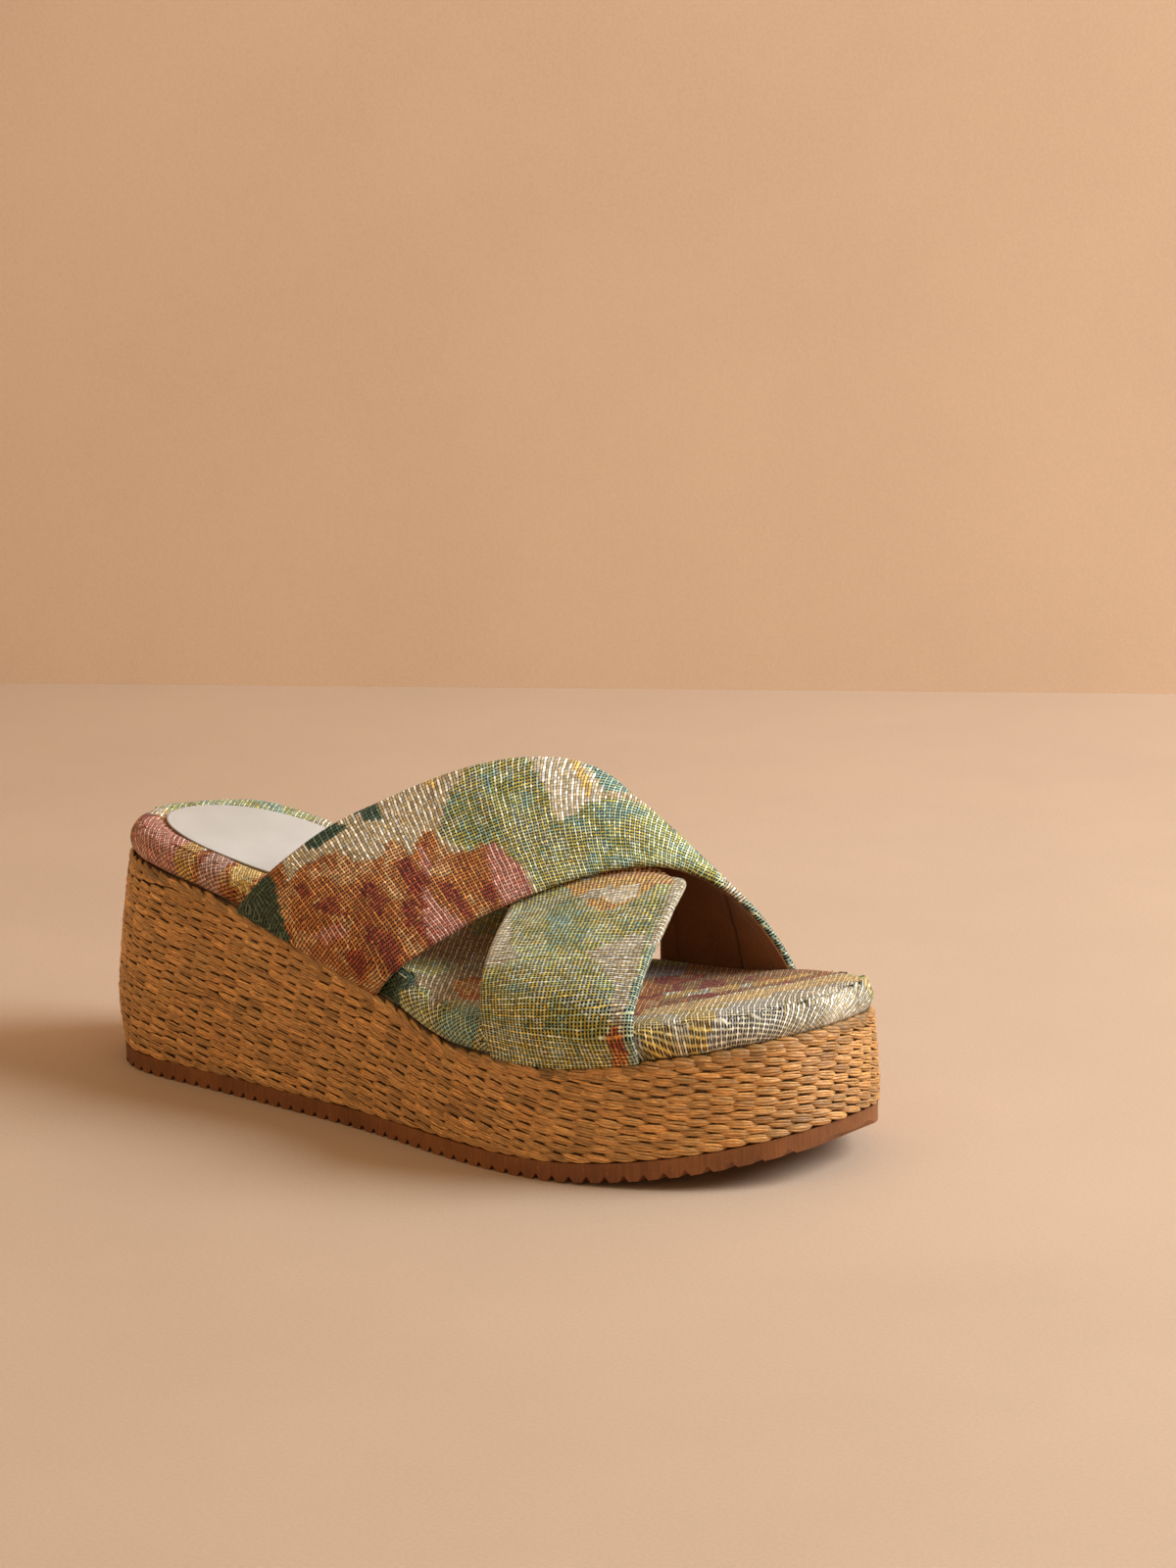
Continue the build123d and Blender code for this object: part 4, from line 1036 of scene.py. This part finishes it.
    crease = 0.10 * value_noise(cl[..., :2] / 7.0, seed + 9) + 0.05 * value_noise(cl[..., :2] / 2.5, seed + 10)
    O = O - (seam * on + fold + crease) * inside_face
    P = strap.point(I, D, O)
    verts, faces = closed_sweep(P)
    # painted shade: darker in the seam's groove and along the fold's crease
    shade = 1 - 0.62 * np.exp(-(dist / 0.45) ** 2) * on * inside_face
    shade = shade * (1 - 0.25 * np.exp(-((near_edge - 5.9) / 0.5) ** 2) * inside_face)
    lin = make_mesh(tag + "_lining_microfibre", verts, faces, True,
                    {"tint": np.repeat(shade.reshape(-1, 1), 3, 1)})
    face_out(lin)
    wear(lin, MAT_LINING)
    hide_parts(tag + "_fabric")
    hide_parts(tag + "_padding")
    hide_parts(tag + "_lining")
    return fab, pad, lin


TOP = Strap(TOP_REAR, TOP_FRONT, TOP_CROWN)
UNDER = Strap(UNDER_REAR, UNDER_FRONT, UNDER_CROWN)
TOP_ENDS = [(-56.2, -2.4, -1), (38.4, 82.6, 1)]
UNDER_ENDS = [(45.8, 86.6, -1), (-38.6, 33.8, 1)]
top_parts = build_strap("top_strap", TOP, TOP_PATCHES, TOP_ENDS, 11, "cream")
under_parts = build_strap("under_strap", UNDER, UNDER_PATCHES, UNDER_ENDS, 31, "sage", TOP)

# ------------------------------------------------------------------ footbed cover
BED_DIR = np.array([0.86, 0.51])        # the threads are counted this way
BED_DIR = BED_DIR / np.linalg.norm(BED_DIR)
BED_NRM = np.array([-BED_DIR[1], BED_DIR[0]])


def inner_faces():
    """Points and directions of the straps' inner faces, to press the footbed's rim in."""
    P, N = [], []
    for st in (TOP, UNDER):
        i = np.arange(0, st.count + 1, 5.0)
        for sh in np.linspace(-0.02, 1.02, 90):
            w = np.interp(i, np.arange(st.count + 1), st.width)
            p = st.point(i, sh * w, np.full(len(i), -3.42))
            ok = (p[:, 2] > top_z(p[:, 0]) - 3) & (p[:, 2] < top_z(p[:, 0]) + 16)
            P.append(p[ok])
            N.append(st.normal[i.astype(int)][ok])
    return np.concatenate(P), np.concatenate(N)


def build_bed():
    na, nr = 1500, 64
    s = np.arange(na) * EDGE_LONG / na
    p, nrm = edge_at(s)
    ln = lean(p[:, 0])
    # rim profile: (inset from the wedge's top edge, height over it), bottom to top
    prof = [(3.6, 0.10), (2.4, 0.35), (1.45, 1.0), (0.85, 2.0), (0.55, 3.2), (0.50, 4.4), (0.72, 5.6),
            (1.2, 6.7), (1.95, 7.7), (2.95, 8.55), (4.2, 9.2), (5.7, 9.62), (7.4, 9.82), (9.4, 9.86)]
    from_edge = [0.0]
    for (a, b), (c, d) in zip(prof[:-1], prof[1:]):
        from_edge.append(from_edge[-1] + math.hypot(a - c, b - d))
    # densify the profile
    t = np.interp(np.linspace(0, 1, 34), np.array(from_edge) / from_edge[-1], np.arange(len(prof)))
    pi = np.interp(t, np.arange(len(prof)), [a for a, _ in prof])
    pz = np.interp(t, np.arange(len(prof)), [b for _, b in prof])
    k = 3
    pi = np.convolve(np.pad(pi, k // 2, mode="edge"), np.ones(k) / k, "valid")
    pz = np.convolve(np.pad(pz, k // 2, mode="edge"), np.ones(k) / k, "valid")
    pi[0], pz[0] = 3.6, 0.10
    run = np.concatenate([[0], np.cumsum(np.hypot(np.diff(pi), np.diff(pz)))])
    wob = 0.22 * value_noise(np.stack([s / 11.0, 0 * s], -1), 77) + 0.12 * value_noise(
        np.stack([s / 4.5, 0 * s + 9], -1), 78)
    rings = []
    plans = []
    lasti, lastrun = pi[-1], run[-1]
    for i, (a, b, r) in enumerate(zip(pi, pz, run)):
        soft = math.sin(math.pi * min(max(i / (len(pi) - 1), 0), 1))
        q = p - nrm * (ln + a - wob * soft)[:, None]
        flat = p - nrm * (ln + lasti + (r - lastrun) + 0.0)[:, None]
        rings.append(np.concatenate([q, (top_z(q[:, 0]) + b)[:, None]], -1))
        plans.append(flat)
    # the flat middle: rings shrink to a spine
    q0 = rings[-1][:, :2]
    sx = np.clip(q0[:, 0], -96, 84)
    yc = np.interp(sx, [-100, -40, 0, 40, 84], [-0.5, -2.6, -3.2, -1.6, 3.5])
    spine = np.stack([sx, yc], -1)
    nin = nr - 12
    for i in range(1, nin + 1):
        f = i / nin
        q = q0 * (1 - f) + spine * f
        z = top_z(q[:, 0]) + 9.86 - 0.26 * min(f * 3, 1)
        rings.append(np.concatenate([q, z[:, None]], -1))
        plans.append(q.copy())
    P = np.stack(rings, 0)
    plan = np.stack(plans, 0)
    nring = len(rings)
    # press the rim in where the straps rise
    from mathutils.kdtree import KDTree
    SP, SN = inner_faces()
    tree = KDTree(len(SP))
    for i, v in enumerate(SP):
        tree.insert(v, i)
    tree.balance()
    for i in range(44):
        ring = P[i]
        for j in range(na):
            v = ring[j]
            co, idx, dist = tree.find(v)
            if dist > 5.5:
                continue
            nn = SN[idx]
            depth = float(np.dot(v - SP[idx], nn))
            if depth > 0 and dist < 5.5:
                flatn = np.array([nn[0], nn[1], nn[2] * 0.25])
                flatn /= np.linalg.norm(flatn)
                P[i, j] = v - flatn * (depth / max(float(np.dot(flatn, nn)), 0.4))
    # smooth the pressed zones along the rim
    for _ in range(3):
        P[:44] = (np.roll(P[:44], 1, 1) + 2 * P[:44] + np.roll(P[:44], -1, 1)) / 4
    # the cover stays outside the foam
    from mathutils.bvhtree import BVHTree
    foam = nodes["footbed_foam"]
    fm = foam.matrix_world
    skin = BVHTree.FromPolygons([fm @ v.co for v in foam.data.vertices],
                                [tuple(f.vertices) for f in foam.data.polygons])
    for i in range(3, 50):
        for j in range(na):
            v = Vector(P[i, j] * MM)
            co, nn, k, dist = skin.find_nearest(v, 0.004)
            if co is None:
                continue
            side = (v - co).dot(nn)
            if side < 0.00035 and dist < 0.0035:
                P[i, j] = np.array(co + nn * 0.00035) / MM
    # and so do the threads between two of its points, where the foam has a sharp edge
    for _ in range(4):
        for i in range(3, 50):
            for j in range(na):
                for n in ((i + 1, j), (i, (j + 1) % na)):
                    v = Vector((P[i, j] + P[n]) * 0.5 * MM)
                    co, nn, k, dist = skin.find_nearest(v, 0.006)
                    if co is None:
                        continue
                    side = (v - co).dot(nn)
                    if side < 0.00015:
                        push = np.array(nn) * (0.00020 - side) / MM
                        P[i, j] = P[i, j] + push
                        P[n] = P[n] + push
    # the cloth is dragged askew over the front of the rim
    inset = np.linalg.norm(plan - plan[:1], axis=-1)
    drag = np.clip(1.25 - inset / 17.0, 0, 1.25) ** 1.5 * (plan[..., 1] < 4)
    drag = drag * (plan[..., 0] - 84.0) * np.exp(-((plan[..., 0] - 86.0) / 24.0) ** 2)
    cloth = np.stack([plan @ BED_DIR - 0.25 * drag, plan @ BED_NRM + 0.55 * drag,
                      np.zeros(plan.shape[:2])], -1)
    ph = cloth[..., 0] / ROW
    tri = 1 - np.abs(2 * (ph - np.floor(ph)) - 1)
    relief = 0.05 * (np.clip((tri - 0.2) / 0.5, 0, 1) - 0.5)
    relief = relief + 0.10 * value_noise(plan / 8.0, 91) + 0.05 * value_noise(plan / 3.2, 92)
    du = np.roll(P, -1, 1) - np.roll(P, 1, 1)
    dr = np.gradient(P, axis=0)
    n = np.cross(du, dr)
    n /= np.maximum(np.linalg.norm(n, axis=-1), 1e-9)[..., None]
    n *= np.sign(np.median(n[nring - 8, :, 2]))
    fade = np.ones(nring)
    fade[-3:] = [0.6, 0.3, 0.0]
    fade[:2] = 0
    P = P + n * (relief * fade[:, None])[..., None]
    # the label sits in a shallow print of its own shape
    e = ((P[..., 0] + 73.05) / 37.6) ** 2 + ((P[..., 1] + 3.26) / 22.6) ** 2
    under_label = np.clip((1.04 - e) / 0.06, 0, 1) * (np.arange(nring)[:, None] > 30)
    limit = top_z(P[..., 0]) + 9.45
    P[..., 2] = np.where(P[..., 2] > limit, P[..., 2] * (1 - under_label) + limit * under_label, P[..., 2])
    pts = plan.reshape(-1, 2)
    cl = cloth.reshape(-1, 3)
    row = np.floor(cl[:, 0] / ROW)
    col = np.floor(cl[:, 1] / WEFT)
    dx = (row + 0.5) * ROW - cl[:, 0]
    dy = (col + 0.5) * WEFT - cl[:, 1]
    at = pts + dx[:, None] * BED_DIR + dy[:, None] * BED_NRM
    light, weft, dark = paint(at, np.stack([row, col], -1), "cream", BED_PATCHES, 51)
    top_v = P.reshape(-1, 3)
    faces = [tuple(f) for f in grid_faces(nring, na, wrap_v=True)]
    # underside: from the rim's foot up to the foam's bottom inside
    under = []
    for a, b in ((4.0, 0.30), (4.35, 1.5), (4.6, 3.5), (4.9, 6.6), (6.5, 8.35), (9.0, 8.55)):
        q = p - nrm * (ln + a)[:, None]
        under.append(np.concatenate([q, (top_z(q[:, 0]) + b)[:, None]], -1))
    qi = under[-1][:, :2]
    for f in np.linspace(0.12, 1, 9):
        q = qi * (1 - f) + spine * f
        under.append(np.concatenate([q, (top_z(q[:, 0]) + 8.55)[:, None]], -1))
    U = np.stack(under, 0)
    # the inside follows the pressed rim
    shift = P[14, :, :2] - (p - nrm * (ln + 1.45)[:, None])
    inward = np.minimum((shift * -nrm).sum(-1), 30)
    for i in range(6):
        U[i, :, :2] -= nrm * np.maximum(inward - 0.5, 0)[:, None]
    base = len(top_v)
    nU = len(under)
    verts = np.concatenate([top_v, U.reshape(-1, 3)])
    faces += [tuple(f) for f in grid_faces(nU, na, wrap_v=True, base=base, flip=True)]
    for j in range(na):
        k = (j + 1) % na
        faces.append((j, k, base + k, base + j))
    clu = np.concatenate([cl, np.repeat(cl[:na], nU, 0)])
    light = np.concatenate([light, np.tile(light[:na], (nU, 1))])
    weft = np.concatenate([weft, np.tile(weft[:na], (nU, 1))])
    dark = np.concatenate([dark, np.tile(dark[:na], (nU, 1))])
    ob = make_mesh("footbed_cover_woven", verts, faces, True,
                   {"thread": light, "weft": weft, "ground": dark}, {"cloth": clu})
    import bmesh
    bm = bmesh.new()
    bm.from_mesh(ob.data)
    bmesh.ops.remove_doubles(bm, verts=bm.verts, dist=0.00002)
    bmesh.ops.dissolve_degenerate(bm, edges=bm.edges, dist=0.00001)
    bmesh.ops.recalc_face_normals(bm, faces=bm.faces)
    bm.to_mesh(ob.data)
    bm.free()
    wear(ob, MAT_BED)
    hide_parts("footbed_cover")
    return ob


bed = build_bed()

# ------------------------------------------------------------------ heel label
def build_label():
    na, rings = 360, []
    ang = np.arange(na) * 2 * math.pi / na
    prof = [(0.985, -0.25), (0.993, 0.0), (1.0, 0.22), (0.999, 0.40), (0.994, 0.54), (0.984, 0.62),
            (0.968, 0.66), (0.955, 0.655), (0.945, 0.60), (0.935, 0.655), (0.92, 0.67), (0.86, 0.68),
            (0.75, 0.69), (0.6, 0.70), (0.45, 0.71), (0.3, 0.71), (0.15, 0.71), (0.0, 0.71)]
    tint = []
    for r, h in prof:
        x = -72.3 + 36.0 * r * np.cos(ang)
        y = -3.26 + 22.0 * r * np.sin(ang)
        soft = 0.05 * value_noise(np.stack([x / 7, y / 7], -1), 5) * (r < 0.9)
        rings.append(np.stack([x, y, top_z(x) + 9.62 + h + soft], -1))
        edge = 1.0 if h > 0.45 and r < 0.99 else 0.42
        tint.append(np.full((na, 3), edge) * (np.array([1, 0.86, 0.72]) if edge < 1 else 1))
    P = np.concatenate(rings)
    T = np.concatenate(tint)
    faces = [tuple(f) for f in grid_faces(len(prof), na, wrap_v=True)]
    faces.append(tuple(range(na)))
    ob = make_mesh("heel_label_blank", P, faces, True, {"tint": T})
    import bmesh
    bm = bmesh.new()
    bm.from_mesh(ob.data)
    bmesh.ops.remove_doubles(bm, verts=bm.verts, dist=0.00001)
    bmesh.ops.recalc_face_normals(bm, faces=bm.faces)
    bm.to_mesh(ob.data)
    bm.free()
    wear(ob, MAT_LABEL)
    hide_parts("heel_label")
    return ob


label = build_label()

# ------------------------------------------------------------------ raffia wrap
RAFFIA_ROW = 2.42        # pitch of the rows
RAFFIA_STEP = 6.1        # pitch of the floats along a row
RAFFIA_SHIFT = 0.55      # each row starts this much ahead of the one below


def strand(center_s, center_z, slant, long, high, rise, number, seed_row, nx=9, low=0.74):
    """One float of raffia on the wall: slender fibres side by side that gather and dive at both ends."""
    r = np.random.default_rng(seed_row)
    count = 3
    a = np.linspace(-1, 1, nx)
    theta = np.arange(5) * 2 * math.pi / 5 + 0.3
    x = a * long * 0.5
    full = np.clip(1 - np.abs(a) ** 2.0, 0, 1)
    half = high * 0.5 * (0.34 + 0.66 * full)
    bow = r.uniform(-0.10, 0.10)
    out = []
    for i in range(count):
        place = (i - (count - 1) / 2) / ((count - 1) / 2)
        wide = high / count * 1.22 * r.uniform(0.82, 1.18)
        w = wide * 0.5 * (0.50 + 0.50 * full)
        slope = slant + r.uniform(-0.035, 0.035)
        centre = place * (half - w * 0.8) + slope * x + bow * (1 - a * a)
        centre = centre + 0.05 * np.sin(a * 2.6 + r.uniform(0, 6.28))
        arch = 1 - np.abs(a) ** 3
        h0 = rise * arch * (1 - 0.22 * place ** 2) + r.uniform(-0.09, 0.09)
        A, Th = np.meshgrid(x, theta, indexing="ij")
        dz = centre[:, None] + w[:, None] * np.sin(Th)
        h = h0[:, None] + (w[:, None] * 0.62) * np.cos(Th)
        s = center_s + A + r.uniform(-0.25, 0.25)
        extra = low - h + 0.60 * (np.abs(A) / (long * 0.5)) ** 4
        tag = np.stack([A, Th / math.pi * wide * 0.5, np.full(A.shape, number + 0.37 * i)], -1)
        out.append((s, center_z + dz, extra, tag))
    return out


def strand_faces(nx, n, base):
    f = [tuple(v) for v in grid_faces(nx, n, wrap_v=True, base=base)]
    f.append(tuple(base + k for k in range(n)))
    f.append(tuple(base + (nx - 1) * n + k for k in reversed(range(n))))
    return f


def bottom_line(x):
    return spring_z(x) + SOLE_THICK


def build_raffia():
    count = int(round(EDGE_LONG / RAFFIA_STEP))
    step = EDGE_LONG / count
    groups = {"lateral_rear": [], "lateral_fore": [], "medial_rear": [], "medial_fore": []}
    number = 0
    base_tint = srgb(220, 160, 90)
    for k in range(28):
        off = RAFFIA_SHIFT / step * k
        z0 = 0.45 + RAFFIA_ROW * (k + 0.5)
        for j in range(count):
            number += 1
            r = np.random.default_rng(1000 + number)
            sc = (j + off) * step + r.uniform(-0.3, 0.3)
            sc = sc + 0.8 * float(value_noise(np.array([sc / 30.0, k / 3.0]), 61))
            p, _ = edge_at(sc)
            zc = bottom_line(p[0]) + z0 + r.uniform(-0.10, 0.10) - 0.25
            zc = zc + 0.22 * float(value_noise(np.array([sc / 16.0, k / 2.0]), 62))
            if zc > float(top_z(p[0])) - 1.35:
                continue
            long = 9.4 + r.uniform(-0.6, 0.8)
            high = 2.08 + r.uniform(-0.25, 0.25)
            slant = -0.19 + r.uniform(-0.045, 0.045)
            rise = 0.50 + r.uniform(-0.10, 0.10)
            groups[("lateral" if p[1] < 0 else "medial") + ("_rear" if p[0] < 0 else "_fore")].append(
                (sc, zc, slant, long, high, rise, number, "row"))
    # top edge: the braid's own edge row, larger loops that lie along the rim
    n_edge = int(EDGE_LONG / 4.9)
    for j in range(n_edge):
        number += 1
        r = np.random.default_rng(9000 + number)
        sc = (j + 0.5) * EDGE_LONG / n_edge + r.uniform(-0.4, 0.4)
        p, _ = edge_at(sc)
        groups[("lateral" if p[1] < 0 else "medial") + ("_rear" if p[0] < 0 else "_fore")].append(
            (sc, 0.0, -0.16 + r.uniform(-0.06, 0.06), 7.6 + r.uniform(-0.5, 1.0),
             2.7 + r.uniform(-0.3, 0.3), 0.62 + r.uniform(-0.2, 0.2), number, "edge"))
    made = []
    for side, items in groups.items():
        V, F, ST, TI = [], [], [], []
        base = 0
        for (sc, zc, slant, long, high, rise, num, kind) in items:
            r = np.random.default_rng(20000 + num)
            k = 1 + 0.12 * r.standard_normal()
            warm = 1 + 0.025 * r.standard_normal()
            for (s, z, extra, st) in strand(sc, zc, slant, long, high, rise, num, 40000 + num):
                p, _ = edge_at(s)
                if kind == "edge":
                    z = z + top_z(p[..., 0]) - 1.30
                    extra = extra + np.clip((z - (top_z(p[..., 0]) - 1.2)) / 1.6, 0, 1.2) ** 2 * 1.3
                else:
                    # rows follow the sole's line
                    pc, _ = edge_at(sc)
                    z = z + (bottom_line(p[..., 0]) - float(bottom_line(pc[0])))
                    z = np.minimum(z, top_z(p[..., 0]) - 0.15)
                q = wall_at(s, z, extra)
                q[..., 2] = z
                V.append(q.reshape(-1, 3))
                F += strand_faces(s.shape[0], s.shape[1], base)
                base += s.size
                ST.append(st.reshape(-1, 3))
                kk = np.clip(k + 0.12 * r.standard_normal(), 0.55, 1.5)
                t = base_tint * kk * np.array([1.0, warm, warm ** 2])
                if kind == "edge":
                    t = t * 0.80
                TI.append(np.repeat(t[None], s.size, 0))
        ob = make_mesh("raffia_strands_" + side, np.concatenate(V), F, True,
                       {"tint": np.concatenate(TI)}, {"strand": np.concatenate(ST)})
        face_out(ob)
        wear(ob, MAT_RAFFIA)
        made.append(ob)
    # backing band behind the floats, ribbed by the upright weavers it is woven on; its material is painted dark
    # as the shade in the gaps
    na = 1680
    s = np.arange(na) * EDGE_LONG / na
    p, _ = edge_at(s)
    zb, zt = bottom_line(p[:, 0]) + 0.08, top_z(p[:, 0]) - 0.12
    rows = []
    rib = 0.35 * np.cos(2 * math.pi * s / step)
    levels = np.linspace(0, 1, 20)
    for i, f in enumerate(levels):
        z = zb * (1 - f) + zt * f
        edge = 0.5 * ((f < 0.02) or (f > 0.98))
        rows.append(wall_at(s, z, 1.25 + rib * (0.5 + 0.5 * math.cos(i * math.pi)) + edge))
    for f in levels[::-1]:
        z = zb * (1 - f) + zt * f
        rows.append(wall_at(s, z, np.full(na, 2.72)))
    R = np.stack(rows, 0)
    st = np.stack([np.broadcast_to(s, R.shape[:2]) * 0.5, R[..., 2] * 2.0, np.zeros(R.shape[:2])], -1)
    faces = [tuple(f) for f in grid_faces(len(rows), na, wrap_u=True, wrap_v=True)]
    back = make_mesh("raffia_backing", R.reshape(-1, 3), faces, True,
                     {"tint": np.repeat(base_tint[None], R.shape[0] * na, 0)}, {"strand": st.reshape(-1, 3)})
    face_out(back)
    wear(back, MAT_BACKING_SHADE)
    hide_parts("raffia_wrap")
    for ob in made:
        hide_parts("raffia_wrap")
    return made + [back]


raffia = build_raffia()

# ------------------------------------------------------------------ riding on the root body
for ob in list(top_parts) + list(under_parts) + [bed, label] + raffia:
    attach(ob, "root")

# ------------------------------------------------------------------ room, light, camera
C = np.array([749.2, -892.8, 344.0])
RIGHT = np.array([0.7855, 0.6188, -0.0099])
UP = np.array([-0.1234, 0.1723, 0.9773])
BACK = np.array([0.6064, -0.7665, 0.2117])
F_PX = 4351.14


def on_floor(px, py):
    d = RIGHT * (px - 600) / F_PX - UP * (py - 800) / F_PX - BACK
    return C + d * (-C[2] / d[2])


left, right = on_floor(0, 697), on_floor(1200, 708)
along = (right - left) / np.linalg.norm(right - left)


def plaster(name, a, b):
    m = Nodes(name)
    co = m.coords()
    big = m.noise(co, 1.6, 3.0, 0.5)
    mid_ = m.noise(co, 9.0, 4.0, 0.6)
    fine = m.noise(co, 900.0, 2.0, 0.6)
    c = m.mix(m.smooth(big, 0.3, 0.7), srgb(*a), srgb(*b))
    c = m.scale(c, m.smooth(mid_, 0.3, 0.7, 0.975, 1.02))
    c = m.scale(c, m.smooth(fine, 0.3, 0.7, 0.97, 1.03))
    n = m.bump(m.math("ADD", mid_, m.math("MULTIPLY", fine, 0.15)), 0.12, 0.002)
    return m.finish(c, 0.75, n, spec=0.25)


def stage_plane(name, pts, mat):
    ob = make_mesh(name, np.array(pts), [(0, 1, 2, 3)], False)
    wear(ob, mat)
    return ob


far = 6000.0
inward = np.cross([0, 0, 1.0], along)
if np.dot(C - left, inward) < 0:
    inward = -inward
a = left - along * far
b = right + along * far
floor = stage_plane("floor", [a, b, b + inward * far * 1.4, a + inward * far * 1.4],
                    plaster("floor_plaster", (207, 178, 151), (201, 171, 143)))
wall_ob = stage_plane("backdrop", [a, b, b + [0, 0, 3600.0], a + [0, 0, 3600.0]],
                      plaster("wall_plaster", (229, 195, 162), (223, 189, 155)))

cam_data = bpy.data.cameras.new("camera")
cam = bpy.data.objects.new("camera", cam_data)
bpy.context.scene.collection.objects.link(cam)
m4 = Matrix(((RIGHT[0], UP[0], BACK[0], C[0] * MM), (RIGHT[1], UP[1], BACK[1], C[1] * MM),
             (RIGHT[2], UP[2], BACK[2], C[2] * MM), (0, 0, 0, 1)))
cam.matrix_world = m4
cam_data.sensor_fit = "AUTO"
cam_data.sensor_width = 36.0
cam_data.lens = F_PX / 1600.0 * 36.0
cam_data.clip_start = 0.01
cam_data.clip_end = 50.0
bpy.context.scene.camera = cam


def area(name, where, target, size, power, color):
    d = bpy.data.lights.new(name, "AREA")
    d.shape = "DISK"
    d.size = size
    d.energy = power
    d.color = color
    ob = bpy.data.objects.new(name, d)
    bpy.context.scene.collection.objects.link(ob)
    ob.location = where
    v = Vector(target) - Vector(where)
    ob.rotation_euler = v.to_track_quat("-Z", "Y").to_euler()
    return ob


def rel(r, u, b):
    """Place relative to the view: right, up, towards the camera, in metres."""
    v = RIGHT * r + np.array([0, 0, 1.0]) * u + BACK * b
    return tuple(v)


area("key", rel(1.38, 1.05, 0.12), (0.02, 0.0, 0.04), 1.1, 36.0, (0.84, 0.98, 1.12))
area("fill", rel(-1.2, 1.5, 1.0), (0.0, 0.0, 0.04), 1.6, 3.0, (1.0, 0.90, 0.78))
world = bpy.data.worlds.new("world")
bpy.context.scene.world = world
world.use_nodes = True
bg = world.node_tree.nodes["Background"]
bg.inputs[0].default_value = (1.0, 0.76, 0.48, 1)
bg.inputs[1].default_value = 0.48
bpy.context.scene.view_settings.view_transform = "Standard"
